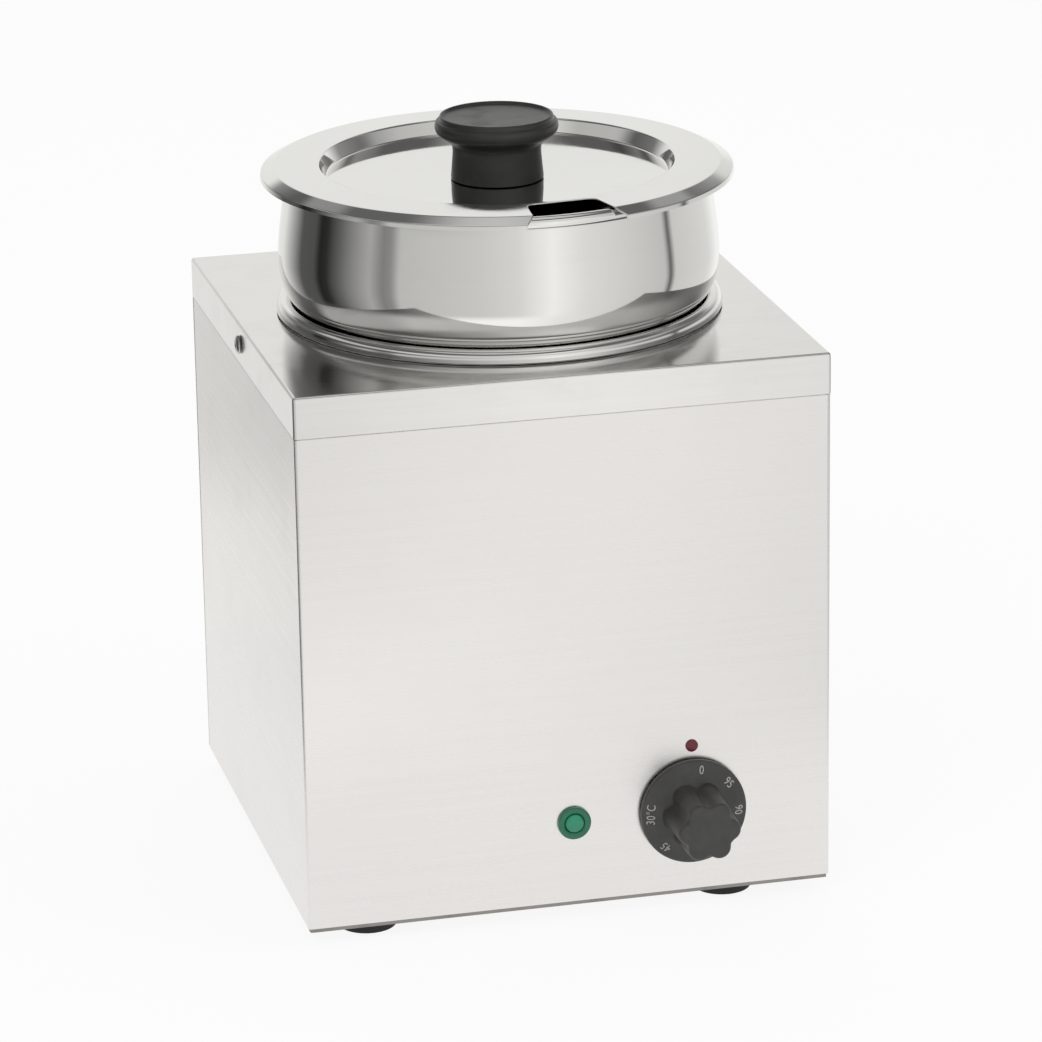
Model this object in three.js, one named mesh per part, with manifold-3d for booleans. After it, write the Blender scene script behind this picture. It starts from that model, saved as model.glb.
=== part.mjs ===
// Countertop bain marie: a round pot with a lid hangs in a heated well inside a square folded casing.
// Lengths are in millimetres, +Z is up and the front faces -Y.
// The origin lies on the floor, below the middle of the whole outline.

import * as THREE from 'three';
import { mergeVertices } from 'three/addons/utils/BufferGeometryUtils.js';
import Module from 'manifold-3d';

const wasm = await Module();
wasm.setup();

// Driving sizes, one block for each sub-assembly

const fit = {
  seat: 0.3, // gap between faces that rest on each other
  hole: 0.4, // room round a screw, shaft or barrel in its hole
  overrun: 2, // how far a cutting tool runs past the face that it cuts
  weld: 0.001, // vertices closer than this are one vertex
};

// How many straight sides stand for each kind of curve
const facets = {
  round: 44,
  part: 16,
  screw: 10,
  nut: 6,
  wire: 5,
  fold: 2,
  bend: 3,
  dome: 2,
  roll: 6,
  spline: 10,
  heaterRun: 64,
  heater: 6,
  wireRun: 16,
};

const well = {
  radius: 104.5,
  depth: 150,
  sheet: 1,
  cornerRadius: 14,
  beadRadius: 4.5,
  beadRise: 7.1,
  holeRoom: 1,
};

const seal = { thickness: 1, inset: 0.6 };

const jacket = { thickness: 13, footRoom: 14, headRoom: 17, strapHeight: 12, strapSheet: 0.8 };

const casing = {
  shelf: 21.5, // flat top between the well's rim and the casing's side
  plant: 125.2, // height below the well for the heater and the controls
  sheet: 1,
  lip: 20.8,
  reveal: 0.2, // how far the walls stand back from the face of the cover's lip
  seam: 0.6, // open joint between the lip's edge and the walls
  foldRadius: 1.6,
  sideFlange: 14,
  nutMargin: 8,
  rearReturn: 14,
};

const vent = { length: 34, width: 3.6, pitch: 9, rows: 5, columnSpan: 96, drop: 56 };

const base = { sheet: 2, inset: 1, slotLength: 44, slotWidth: 5, slotPitch: 16, slots: 5 };

const foot = {
  radius: 15.4,
  soleRadius: 14.8,
  height: 7.4,
  recess: 3.4,
  insetLeft: 35,
  insetRight: 50,
  insetY: 25,
};

const screw = { radius: 2, headRadius: 3.8, headHeight: 2.4, length: 6, nutHeight: 3.4, nutRadius: 4.1 };

const coverScrew = { radius: 2, headRadius: 5, headHeight: 2.2, length: 6 };

const pot = {
  sheet: 0.8,
  wellRoom: 2.2, // gap between the pot's side and the well's side
  waterDepth: 33, // gap between the pot's floor and the well's floor
  cornerRadius: 11,
  seatAngle: 155, // where the shoulder rests on the bead, in degrees from the outside round over its top
  hipDrop: 11,
  shoulderOut: 5.1,
  shoulderRise: 9.4,
  bulgeOut: 7.3,
  bulgeRise: 25.9,
  neckOut: 4.3,
  neckRise: 52.9,
  throatOut: 2.3,
  rimRadius: 3.4,
  rimRise: 69.2,
};

const lid = {
  sheet: 0.8,
  overhang: 10.2,
  rimFall: 0.2, // how far the rolled edge has dropped where it lies on the pot's rim
  rollStart: 4,
  rollRadius: 20,
  rollDrop: 4.1,
  edgeFold: 1.2,
  edgeLip: 1.3,
  crown: 0.6,
  crestInset: 19.5,
  crestFold: 1.5,
  recessSlope: 3.4,
  recessDepth: 7.5,
  recessFold: 1.5,
  dish: 2,
  dishRadius: 28,
};

const notch = { innerHalf: 18, outerHalf: 21.5, flare: 8, innerRoom: 2, corner: 5, flareCorner: 8, turn: 6 };

const knob = { height: 32.5, headRadius: 31.3, insertRadius: 4, insertDepth: 14 };

const knobScrew = { radius: 2.5, headRadius: 4.6, headHeight: 2.8, reach: 12 };

const knobWasher = { radius: 7, thickness: 1 };

// The knob's outline from its foot to the middle of its dished top: shares of head radius and height
const knobOutlineShares = [
  [0.745, 0],
  [0.715, 0.36],
  [0.714, 0.49],
  [0.76, 0.58],
  [0.87, 0.65],
  [0.965, 0.725],
  [1, 0.815],
  [0.985, 0.9],
  [0.935, 0.978],
  [0.9, 1],
  [0.84, 0.955],
  [0, 0.945],
];

const panel = { dialX: 62.7, dialZ: 42.9, lampX: 1.5, lampZ: 42.3, indexRise: 34 };

const dial = {
  skirtRadius: 27.3,
  skirtLift: 1.2,
  skirtEdge: 3,
  skirtCone: 3,
  skirtWall: 2,
  skirtBevel: 0.8,
  gripRadius: 16.2,
  gripFold: 1.2,
  draft: 0.08, // share of its width that the grip loses from its foot to its end
  lobeDepth: 1.3,
  lobes: 6,
  reach: 34,
  bossRadius: 6,
};

const spindle = { radius: 3, flat: 0.8, outer: 17, inner: 6 };

const thermostat = {
  width: 42,
  height: 36,
  depth: 25,
  bushRadius: 5.2,
  screwSpan: 28,
  screwLength: 8,
  tabSpan: 20,
  tabRise: 9,
};

const lamp = {
  bezelRadius: 8.5,
  bezelHeight: 2.4,
  edgeFold: 1.1,
  faceRadius: 5.8,
  faceDrop: 0.4,
  barrelRadius: 6.3,
  barrelLength: 7,
  lensRadius: 4.8,
  lensDrop: 0.8,
  lensRise: 1.4,
  bodyLength: 20,
  clipRadius: 9.5,
  clipThickness: 1.2,
};

const index = { radius: 3.2, rise: 0.9, stemRadius: 1.9, stemLength: 4 };

const heater = { ringRadius: 62, tubeRadius: 4, endGap: 30, bend: 9, legDrop: 26 };

const clamp = {
  width: 18,
  sheet: 2,
  overhang: 8,
  studRadius: 2.5,
  studTail: 4,
  nutHeight: 4,
  nutRadius: 4.6,
};

const bulb = { radius: 3, offset: 30, ringRoom: 9, clipSheet: 0.8, clipWidth: 12, clipEar: 7 };

const capillary = { radius: 1, dip: 14, lead: 12 };

const cutout = { radius: 9, height: 8, ringRoom: 15, tabSpan: 7 };

const tab = { half: 3.2, length: 8, sheet: 0.8 };

const terminal = {
  insetX: 89,
  y: 70,
  width: 46,
  depth: 20,
  height: 17,
  coreHeight: 11,
  lug: 8,
  lugDepth: 10,
  lugHeight: 5,
  ribs: 4,
  ribSheet: 1.6,
};

const earth = { insetX: 37, y: 62, radius: 2, height: 14, nutHeight: 3.4, nutRadius: 4.1 };

const gland = {
  insetX: 51,
  z: 44,
  boreRadius: 4,
  threadRadius: 8,
  threadLength: 9,
  hexRadius: 11,
  hexHeight: 5,
  neckRadius: 7,
  capRadius: 10.2,
  capRoof: 4,
  capBevel: 2.5,
  reach: 22,
  nutHeight: 4,
  nutRadius: 11.5,
};

const wire = { radius: 1.3, lead: 12, sag: 10 };

// Derived sizes

const wellOuter = well.radius + well.sheet;
const wellHole = wellOuter + well.holeRoom;
const beadMiddle = well.radius + well.beadRadius;
const beadOuter = beadMiddle + well.beadRadius;

// The walls are stepped in near their top, so that the rest of them lies flush below the cover's lip
const casingHalf = beadOuter + casing.shelf;
const shellHalf = casingHalf - casing.reveal;
const stepIn = casing.sheet + fit.seat - casing.reveal;
const stepHalf = shellHalf - stepIn;
const rearFrame = shellHalf - casing.sheet - fit.seat;
const footFlange = foot.insetY + screw.nutRadius + casing.nutMargin;

const level = {};
level.baseUnder = foot.height + fit.seat;
level.baseTop = level.baseUnder + base.sheet;
level.shellBottom = level.baseTop + fit.seat;
level.flangeTop = level.shellBottom + casing.sheet;
level.nutTop = level.flangeTop + screw.nutHeight;
level.wellUnder = level.shellBottom + casing.plant;
level.wellFloor = level.wellUnder + well.sheet;
level.coverTop = level.wellUnder + well.depth;
level.coverUnder = level.coverTop - casing.sheet;
level.shellTop = level.coverUnder - fit.seat;
level.lipBottom = level.coverTop - casing.lip;
level.step = level.lipBottom - casing.seam;
level.bead = level.coverTop + well.beadRise - well.beadRadius;

// The pot's shoulder rests on the inner side of the well's rolled rim
const seatAngle = THREE.MathUtils.degToRad(pot.seatAngle);
const seatReach = well.beadRadius + fit.seat;
const seatRadius = beadMiddle + seatReach * Math.cos(seatAngle);
const potWall = well.radius - pot.wellRoom;
const potThroat = seatRadius + pot.throatOut;
const rimMiddle = potThroat + pot.rimRadius - pot.sheet;
level.seat = level.bead + seatReach * Math.sin(seatAngle);
level.potUnder = level.wellFloor + pot.waterDepth;
level.potRim = level.seat + pot.rimRise;

const lidRadius = rimMiddle + lid.overhang;
const lidCrest = rimMiddle - lid.crestInset;
level.lidFlange = level.potRim + fit.seat + lid.sheet + lid.rimFall;
level.lidEdge = level.lidFlange - lid.rollDrop;
level.lidCrest = level.lidFlange + lid.crown;
level.lidFloor = level.lidCrest - lid.recessDepth;
level.lidMiddle = level.lidFloor - lid.dish;
level.knobFoot = level.lidMiddle + fit.seat;

// The heater lies against the well's floor, and its clamp, the bulb and the cutout take their place from it
level.heater = level.wellUnder - fit.seat - heater.tubeRadius;
level.heaterEnd = level.heater - heater.legDrop;
level.clampTop = level.heater - heater.tubeRadius - fit.seat;
level.clampUnder = level.clampTop - clamp.sheet;
level.bulb = level.wellUnder - fit.seat - bulb.radius;
const bulbReach = heater.ringRadius - heater.tubeRadius - bulb.ringRoom;
const bulbHalf = Math.sqrt(bulbReach ** 2 - (bulb.offset + bulb.radius) ** 2);
const cutoutY = heater.tubeRadius + cutout.radius + cutout.ringRoom - heater.ringRadius;

// Places on the machine, in its own frame: the middle of the casing is x = y = 0
const front = -shellHalf;
const rear = shellHalf;
const dialPlace = [panel.dialX, front, level.shellBottom + panel.dialZ];
const lampPlace = [panel.lampX, front, level.shellBottom + panel.lampZ];
const indexPlace = [panel.dialX, front, dialPlace[2] + panel.indexRise];
const glandPlace = [gland.insetX - casingHalf, rear, level.shellBottom + gland.z];
const terminalPlace = [terminal.insetX - casingHalf, terminal.y, level.baseTop + fit.seat];
const earthPlace = [earth.insetX - casingHalf, earth.y, level.baseTop + fit.seat];
const coverScrewLevel = (level.coverTop + level.lipBottom) / 2;
const lugReach = (terminal.width - terminal.lug) / 2;
const footPlaces = [
  ['front_left', foot.insetLeft - casingHalf, foot.insetY - casingHalf],
  ['front_right', casingHalf - foot.insetRight, foot.insetY - casingHalf],
  ['rear_left', foot.insetLeft - casingHalf, casingHalf - foot.insetY],
  ['rear_right', casingHalf - foot.insetRight, casingHalf - foot.insetY],
];

// The dial reaches out in front and the gland behind, so the casing stands off the middle of the outline
const machineY = (dial.reach - gland.reach) / 2;

// Finishes

function finish(color, roughness, metalness) {
  return new THREE.MeshStandardMaterial({ color, roughness, metalness });
}

const brushedSteel = finish(0xd6d4d0, 0.38, 0.9);
const polishedSteel = finish(0xdcdcda, 0.12, 1);
const platedSteel = finish(0xb9bbbd, 0.35, 0.9);
const blackPlastic = finish(0x2f2e2c, 0.45, 0);
const greenPlastic = finish(0x1b7a58, 0.25, 0);
const redPlastic = finish(0x7c1d2c, 0.3, 0);
const whitePlastic = finish(0xe6e2d8, 0.5, 0);
const blackRubber = finish(0x1d1d1d, 0.85, 0);
const redSilicone = finish(0x9c3a30, 0.6, 0);
const blueSilicone = finish(0x35538c, 0.6, 0);
const copper = finish(0xb87048, 0.3, 1);
const brass = finish(0xc2a25a, 0.3, 1);
const glassWool = finish(0xd9cfae, 0.95, 0);

// Outlines

function point(x, y) {
  return new THREE.Vector2(x, y);
}

/** An open line through corners of [x, y, radius], with an arc at each inner corner that has a radius. */
function roundedLine(corners, steps = facets.fold) {
  const places = corners.map(([x, y]) => point(x, y));
  const line = [places[0]];
  for (let i = 1; i < places.length - 1; i += 1) {
    const radius = corners[i][2] ?? 0;
    const into = places[i].clone().sub(places[i - 1]).normalize();
    const away = places[i + 1].clone().sub(places[i]).normalize();
    const turn = Math.atan2(into.cross(away), into.dot(away));
    if (radius === 0 || turn === 0) {
      line.push(places[i]);
      continue;
    }
    const start = places[i].clone().addScaledVector(into, -radius * Math.tan(Math.abs(turn) / 2));
    const centre = point(-into.y, into.x).multiplyScalar(Math.sign(turn) * radius).add(start);
    for (let step = 0; step <= steps; step += 1) {
      line.push(start.clone().rotateAround(centre, (turn * step) / steps));
    }
  }
  line.push(places.at(-1));
  return line;
}

/** Moves a line sideways by a distance, to its left when the distance is positive. */
function offsetLine(line, distance) {
  return line.map((place, i) => {
    const into = place.clone().sub(line[Math.max(i - 1, 0)]);
    const away = line[Math.min(i + 1, line.length - 1)].clone().sub(place);
    if (i === 0) into.copy(away);
    if (i === line.length - 1) away.copy(into);
    into.normalize();
    away.normalize();
    const normal = point(-into.y - away.y, into.x + away.x).normalize();
    const reach = distance / normal.dot(point(-into.y, into.x));
    return place.clone().addScaledVector(normal, reach);
  });
}

/** The section of a bent sheet: one face is the line, the other lies a thickness to its left. */
function sheetSection(line, thickness) {
  return [...line, ...offsetLine(line, thickness).reverse()];
}

/** Points on an arc about a centre, from one angle to another in radians. */
function arc(centre, radius, from, to, steps) {
  return Array.from({ length: steps + 1 }, (_, step) => {
    const angle = from + ((to - from) * step) / steps;
    return point(centre.x + radius * Math.cos(angle), centre.y + radius * Math.sin(angle));
  });
}

/** Half the outline of a dome, from its top on the axis down to its edge. */
function dome(radius, edge, rise) {
  const curve = arc(point(0, 0), 1, Math.PI / 2, 0, facets.dome);
  return curve.map((place, i) => point(i === 0 ? 0 : radius * place.x, edge + rise * place.y));
}

function circle(radius, sides = facets.part, x = 0, y = 0) {
  return new THREE.Shape(arc(point(x, y), radius, 0, 2 * Math.PI, sides).slice(0, sides));
}

/** A slot with round ends along X. */
function slot(length, width, x, y) {
  const reach = (length - width) / 2;
  return new THREE.Shape([
    ...arc(point(x + reach, y), width / 2, -Math.PI / 2, Math.PI / 2, facets.fold),
    ...arc(point(x - reach, y), width / 2, Math.PI / 2, (3 * Math.PI) / 2, facets.fold),
  ]);
}

/** A rectangle between two corners. */
function rectangle(lowX, lowY, highX, highY) {
  const [low, high] = [point(lowX, lowY), point(highX, highY)];
  return new THREE.Shape([low, point(highX, lowY), high, point(lowX, highY)]);
}

// Solids

/** Turns a closed geometry into a solid whose faces point out. */
function toSolid(geometry) {
  const plain = new THREE.BufferGeometry();
  const source = geometry.index ? geometry.toNonIndexed() : geometry;
  plain.setAttribute('position', source.getAttribute('position'));
  const merged = mergeVertices(plain, fit.weld);
  const { array } = merged.index;
  const faces = [];
  for (let i = 0; i < array.length; i += 3) {
    const [a, b, c] = [array[i], array[i + 1], array[i + 2]];
    if (a !== b && b !== c && c !== a) faces.push([a, b, c]);
  }
  const vertProperties = merged.attributes.position.array;
  const build = (list) =>
    new wasm.Manifold(new wasm.Mesh({ numProp: 3, vertProperties, triVerts: new Uint32Array(list.flat()) }));
  const solid = build(faces);
  return solid.volume() < 0 ? build(faces.map(([a, b, c]) => [a, c, b])) : solid;
}

/** Turns a line round the Z axis. A line that stays off the axis is closed on itself. */
function revolve(line, sides = facets.round) {
  const onAxis = line[0].x === 0 && line.at(-1).x === 0;
  const geometry = new THREE.LatheGeometry(onAxis ? line : [...line, line[0]], sides);
  return toSolid(geometry.rotateX(Math.PI / 2));
}

/** The geometry of a shape raised from one height to another. */
function prism(shape, from, to) {
  return new THREE.ExtrudeGeometry(shape, { depth: to - from, bevelEnabled: false }).translate(0, 0, from);
}

function raise(shape, from, to) {
  return toSolid(prism(shape, from, to));
}

/** A box between two corners. */
function block(low, high) {
  return raise(rectangle(low[0], low[1], high[0], high[1]), low[2], high[2]);
}

/** A round bar along Z. */
function bar(radius, from, to, sides = facets.part, x = 0, y = 0) {
  return raise(circle(radius, sides, x, y), from, to);
}

/** A ring of rectangular section. */
function ring(inner, outer, from, to, sides = facets.round) {
  return revolve([point(inner, from), point(outer, from), point(outer, to), point(inner, to)], sides);
}

/** A tube of round section along a curve. */
function tube(extrudePath, radius, steps, sides) {
  const options = { steps, extrudePath, bevelEnabled: false };
  return toSolid(new THREE.ExtrudeGeometry(circle(radius, sides), options));
}

function joined(first, ...others) {
  return others.reduce((whole, next) => whole.add(next), first);
}

function without(first, ...tools) {
  return tools.reduce((whole, tool) => whole.subtract(tool), first);
}

/** A tool that cuts a round hole through a wall whose middle lies at a depth y. */
function wallHole(radius, [x, , z], y, sides = facets.part) {
  const reach = casing.sheet + fit.overrun;
  return toSolid(prism(circle(radius, sides), -reach, reach).rotateX(Math.PI / 2).translate(x, y, z));
}

/** A tool that cuts a round hole through both side walls. */
function sideHole(radius, z) {
  const reach = casingHalf + fit.overrun;
  return toSolid(prism(circle(radius, facets.screw), -reach, reach).rotateY(Math.PI / 2).translate(0, 0, z));
}

/** A screw: its domed head stands on z = 0 and its shank runs down. */
function screwSolid({ radius, headRadius, headHeight }, length) {
  const shank = [point(radius, 0), point(radius, -length), point(0, -length)];
  return revolve([...dome(headRadius, 0, headHeight), ...shank], facets.screw);
}

/** A hexagonal nut that rises from z = 0 round a threaded rod. */
function nutSolid(radius, height, rod) {
  const shape = circle(radius, facets.nut);
  shape.holes.push(circle(rod + fit.seat));
  return raise(shape, 0, height);
}

/** A flat connector tab that hangs down from a height. */
function tabSolid(x, y, top, bottom) {
  return block([x - tab.sheet / 2, y - tab.half, bottom], [x + tab.sheet / 2, y + tab.half, top]);
}

/** A thin run through places. */
function thinRun(places, radius) {
  const points = places.map((place) => new THREE.Vector3(...place));
  return tube(new THREE.CatmullRomCurve3(points), radius, facets.wireRun, facets.wire);
}

/** One named piece. */
function piece(name, solid, material) {
  const { vertProperties, triVerts, numProp } = solid.getMesh();
  const geometry = new THREE.BufferGeometry();
  geometry.setAttribute('position', new THREE.BufferAttribute(vertProperties, numProp));
  geometry.setIndex(new THREE.BufferAttribute(triVerts, 1));
  geometry.computeVertexNormals();
  const mesh = new THREE.Mesh(geometry, material);
  mesh.name = name;
  return mesh;
}

// How a sub-assembly built along Z is turned to lie on the machine
const turns = {
  none: new THREE.Euler(),
  down: new THREE.Euler(Math.PI, 0, 0),
  front: new THREE.Euler(Math.PI / 2, 0, 0),
  rear: new THREE.Euler(-Math.PI / 2, 0, 0),
  left: new THREE.Euler(0, -Math.PI / 2, 0),
  right: new THREE.Euler(0, Math.PI / 2, 0),
};

/** A group of pieces at a place. */
function assembly(pieces, place = [0, 0, 0], turn = turns.none) {
  const group = new THREE.Group();
  group.position.set(...place);
  group.rotation.copy(turn);
  group.add(...pieces);
  return group;
}

// Casing

/** A folded tray: a plate whose lip turns down all round, with rounded folds. */
function topCover() {
  const fold = casing.foldRadius;
  const core = casingHalf - fold;
  const geometry = new THREE.ExtrudeGeometry(rectangle(-core, -core, core, core), {
    depth: casing.lip,
    bevelThickness: fold,
    bevelSize: fold,
    bevelSegments: facets.fold,
  });
  const outer = toSolid(geometry.translate(0, 0, level.lipBottom - fold));
  const clear = casingHalf + fit.overrun;
  const inner = casingHalf - casing.sheet;
  const below = level.lipBottom - fold - fit.overrun;
  return without(
    outer,
    block([-clear, -clear, below], [clear, clear, level.lipBottom]),
    block([-inner, -inner, below], [inner, inner, level.coverUnder]),
    bar(wellHole, level.coverUnder - fit.overrun, level.coverTop + fit.overrun, facets.round),
    sideHole(coverScrew.radius + fit.hole, coverScrewLevel),
  );
}

/** The places of the rear panel's screws. */
function rearScrewPlaces() {
  const x = shellHalf - casing.rearReturn / 2;
  const low = level.shellBottom + footFlange / 2;
  const high = level.lipBottom - casing.rearReturn;
  return [
    ['low_left', [-x, rear, low]],
    ['low_right', [x, rear, low]],
    ['high_left', [-x, rear, high]],
    ['high_right', [x, rear, high]],
  ];
}

/** Nuts welded over the foot holes of a flange. */
function weldNuts(places) {
  return places.map(([, x, y]) => bar(screw.nutRadius, level.shellBottom, level.nutTop, facets.screw, x, y));
}

/** Tools that cut the foot holes through a flange and its nuts. */
function footHoles(places) {
  const [low, high] = [level.baseUnder - fit.overrun, level.nutTop + fit.overrun];
  return places.map(([, x, y]) => bar(screw.radius + fit.hole, low, high, facets.screw, x, y));
}

/** The plan of the shell's outer face, from one rear return round to the other, set in by an amount. */
function shellPlan(inset) {
  const { foldRadius, rearReturn } = casing;
  const half = shellHalf - inset;
  const back = rearFrame - inset;
  return roundedLine([
    [rearReturn - half, back],
    [-half, back, foldRadius],
    [-half, -half, foldRadius],
    [half, -half, foldRadius],
    [half, back, foldRadius],
    [half - rearReturn, back],
  ]);
}

/** The shell's walls: flush with the lip below it, stepped in behind it. */
function shellWalls() {
  const { sheet } = casing;
  const [wide, narrow] = [shellPlan(0), shellPlan(stepIn)];
  const stepFoot = level.step - sheet;
  const below = new THREE.Shape(sheetSection(wide, sheet));
  const step = new THREE.Shape([...wide, ...offsetLine(narrow, sheet).reverse()]);
  const behind = new THREE.Shape(sheetSection(narrow, sheet));
  return joined(
    raise(below, level.shellBottom, level.step),
    raise(step, stepFoot, level.step),
    raise(behind, stepFoot, level.shellTop),
  );
}

/** The front and both sides, bent from one sheet, with returns at the rear and flanges at the bottom. */
function housingShell() {
  const { sheet, sideFlange } = casing;
  const inside = shellHalf - sheet / 2;
  const flangeEnd = rearFrame - sheet / 2;
  const [low, high] = [level.shellBottom, level.flangeTop];
  const flanges = [
    block([-inside, -inside, low], [inside, front + footFlange, high]),
    block([-inside, -inside, low], [sideFlange - shellHalf, flangeEnd, high]),
    block([shellHalf - sideFlange, -inside, low], [inside, flangeEnd, high]),
  ];
  const rearFlangeRoom = block(
    [sheet - shellHalf, rear - footFlange - fit.seat, low - fit.overrun],
    [shellHalf - sheet, rear + fit.overrun, high + fit.seat],
  );
  const rearStepRoom = block(
    [-casingHalf, rearFrame - stepIn, level.step - sheet - fit.seat],
    [casingHalf, rear + fit.overrun, level.coverTop],
  );
  const frontFeet = footPlaces.filter(([, , y]) => y < 0);
  const screwHole = screw.radius + fit.hole;
  const thermostatHoles = [-1, 1].map((side) => {
    const place = [dialPlace[0] + (side * thermostat.screwSpan) / 2, front, dialPlace[2]];
    return wallHole(screwHole, place, front, facets.screw);
  });
  return without(
    joined(shellWalls(), ...flanges, ...weldNuts(frontFeet)),
    rearFlangeRoom,
    rearStepRoom,
    ...footHoles(frontFeet),
    ...thermostatHoles,
    wallHole(thermostat.bushRadius + fit.hole, dialPlace, front),
    wallHole(lamp.barrelRadius + fit.hole, lampPlace, front),
    wallHole(index.stemRadius + fit.hole, indexPlace, front, facets.screw),
    ...rearScrewPlaces().map(([, place]) => wallHole(screwHole, place, rearFrame, facets.screw)),
    sideHole(coverScrew.radius + fit.hole, coverScrewLevel),
  );
}

/** The rear wall with its vents, stepped in behind the lip and folded in at the bottom for the rear feet. */
function rearPanel() {
  const wall = rectangle(-shellHalf, level.shellBottom, shellHalf, level.step);
  for (let row = 0; row < vent.rows; row += 1) {
    for (const side of [-1, 1]) {
      const z = level.lipBottom - vent.drop - row * vent.pitch;
      wall.holes.push(slot(vent.length, vent.width, (side * vent.columnSpan) / 2, z));
    }
  }
  wall.holes.push(circle(gland.threadRadius + fit.hole, facets.part, glandPlace[0], glandPlace[2]));
  for (const [, [x, , z]] of rearScrewPlaces()) {
    wall.holes.push(circle(screw.radius + fit.hole, facets.screw, x, z));
  }
  const upright = toSolid(prism(wall, 0, casing.sheet).rotateX(Math.PI / 2).translate(0, rear, 0));
  const stepInner = stepHalf - casing.sheet;
  const stepFoot = level.step - casing.sheet;
  const step = block([-shellHalf, stepInner, stepFoot], [shellHalf, rear, level.step]);
  const behind = block([-stepHalf, stepInner, stepFoot], [stepHalf, stepHalf, level.shellTop]);
  const flangeHalf = shellHalf - casing.sheet - fit.seat;
  const flange = block(
    [-flangeHalf, rear - footFlange, level.shellBottom],
    [flangeHalf, rear - casing.sheet / 2, level.flangeTop],
  );
  const rearFeet = footPlaces.filter(([, , y]) => y > 0);
  return without(joined(upright, step, behind, flange, ...weldNuts(rearFeet)), ...footHoles(rearFeet));
}

/** A flat plate under the casing, with cooling slots. */
function basePlate() {
  const half = shellHalf - base.inset;
  const shape = rectangle(-half, -half, half, half);
  const screwPlaces = [
    ...footPlaces.map(([, x, y]) => [x, y]),
    ...[-lugReach, lugReach].map((reach) => [terminalPlace[0] + reach, terminal.y]),
  ];
  for (const [x, y] of screwPlaces) {
    shape.holes.push(circle(screw.radius + fit.hole, facets.screw, x, y));
  }
  for (let i = 0; i < base.slots; i += 1) {
    const y = (i - (base.slots - 1) / 2) * base.slotPitch;
    shape.holes.push(slot(base.slotLength, base.slotWidth, 0, y));
  }
  return raise(shape, level.baseUnder, level.baseTop);
}

function casingPieces() {
  const sideReach = casingHalf + fit.seat;
  const sideScrew = screwSolid(coverScrew, coverScrew.length);
  const [leftScrew, rightScrew] = ['left', 'right'].map((side) =>
    piece(`cover_screw_${side}`, sideScrew, platedSteel),
  );
  const rearScrews = rearScrewPlaces().map(([name, [x, y, z]]) => {
    const rearScrew = piece(`rear_screw_${name}`, screwSolid(screw, screw.length), platedSteel);
    return assembly([rearScrew], [x, y + fit.seat, z], turns.rear);
  });
  return assembly([
    piece('top_cover', topCover(), polishedSteel),
    piece('housing_shell', housingShell(), brushedSteel),
    piece('rear_panel', rearPanel(), brushedSteel),
    piece('base_plate', basePlate(), platedSteel),
    assembly([leftScrew], [-sideReach, 0, coverScrewLevel], turns.left),
    assembly([rightScrew], [sideReach, 0, coverScrewLevel], turns.right),
    ...rearScrews,
  ]);
}

// Feet

/** A rubber foot with a hole for its screw, whose head sits in a recess in the sole. */
function footSolid() {
  const hole = screw.radius + fit.hole;
  const recess = screw.headRadius + fit.hole;
  return revolve(
    [
      point(hole, foot.height),
      point(hole, foot.recess),
      point(recess, foot.recess),
      point(recess, 0),
      point(foot.soleRadius, 0),
      point(foot.radius, foot.height),
    ],
    facets.part,
  );
}

function footPieces() {
  const headFoot = foot.recess - fit.seat;
  const length = level.nutTop - headFoot;
  return assembly(
    footPlaces.flatMap(([name, x, y]) => {
      const footScrew = piece(`foot_screw_${name}`, screwSolid(screw, length), platedSteel);
      return [
        assembly([piece(`foot_${name}`, footSolid(), blackRubber)], [x, y, 0]),
        assembly([footScrew], [x, y, headFoot], turns.down),
      ];
    }),
  );
}

// Well

/** The tank: a drawn round tub whose edge is rolled outwards into a bead that lies on the cover. */
function wellTank() {
  const hookEnd = level.coverTop + 2 * fit.seat + seal.thickness;
  const inside = roundedLine(
    [
      [0, level.wellFloor],
      [well.radius, level.wellFloor, well.cornerRadius],
      [well.radius, level.bead],
    ],
    facets.bend,
  ).slice(0, -1);
  const bead = arc(point(beadMiddle, level.bead), well.beadRadius, Math.PI, 0, facets.roll);
  return revolve(sheetSection([...inside, ...bead, point(beadOuter, hookEnd)], -well.sheet));
}

function wellPieces() {
  const sealFoot = level.coverTop + fit.seat;
  const jacketInner = wellOuter + fit.seat;
  const jacketOuter = jacketInner + jacket.thickness;
  const jacketFoot = level.wellUnder + jacket.footRoom;
  const jacketTop = level.coverUnder - jacket.headRoom;
  const strapInner = jacketOuter + fit.seat;
  const strapFoot = (jacketFoot + jacketTop - jacket.strapHeight) / 2;
  const sealRing = ring(wellOuter + fit.seat, beadOuter - seal.inset, sealFoot, sealFoot + seal.thickness);
  const strap = ring(strapInner, strapInner + jacket.strapSheet, strapFoot, strapFoot + jacket.strapHeight);
  return assembly([
    piece('well_tank', wellTank(), polishedSteel),
    piece('well_seal', sealRing, blackRubber),
    piece('insulation_jacket', ring(jacketInner, jacketOuter, jacketFoot, jacketTop), glassWool),
    piece('jacket_strap', strap, platedSteel),
  ]);
}

// Heating

/** Where one of the heater's ends leaves its ring, and the bend and leg below it. */
function heaterLeg(side) {
  const { ringRadius, endGap, bend } = heater;
  const angle = Math.asin(endGap / 2 / ringRadius);
  const end = new THREE.Vector3((side * endGap) / 2, ringRadius * Math.cos(angle), level.heater);
  const corner = new THREE.Vector3(-side * bend * Math.cos(angle), bend * Math.sin(angle), 0).add(end);
  const knee = corner.clone().setZ(level.heater - bend);
  return { angle, end, corner, knee, tip: corner.clone().setZ(level.heaterEnd) };
}

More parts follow.
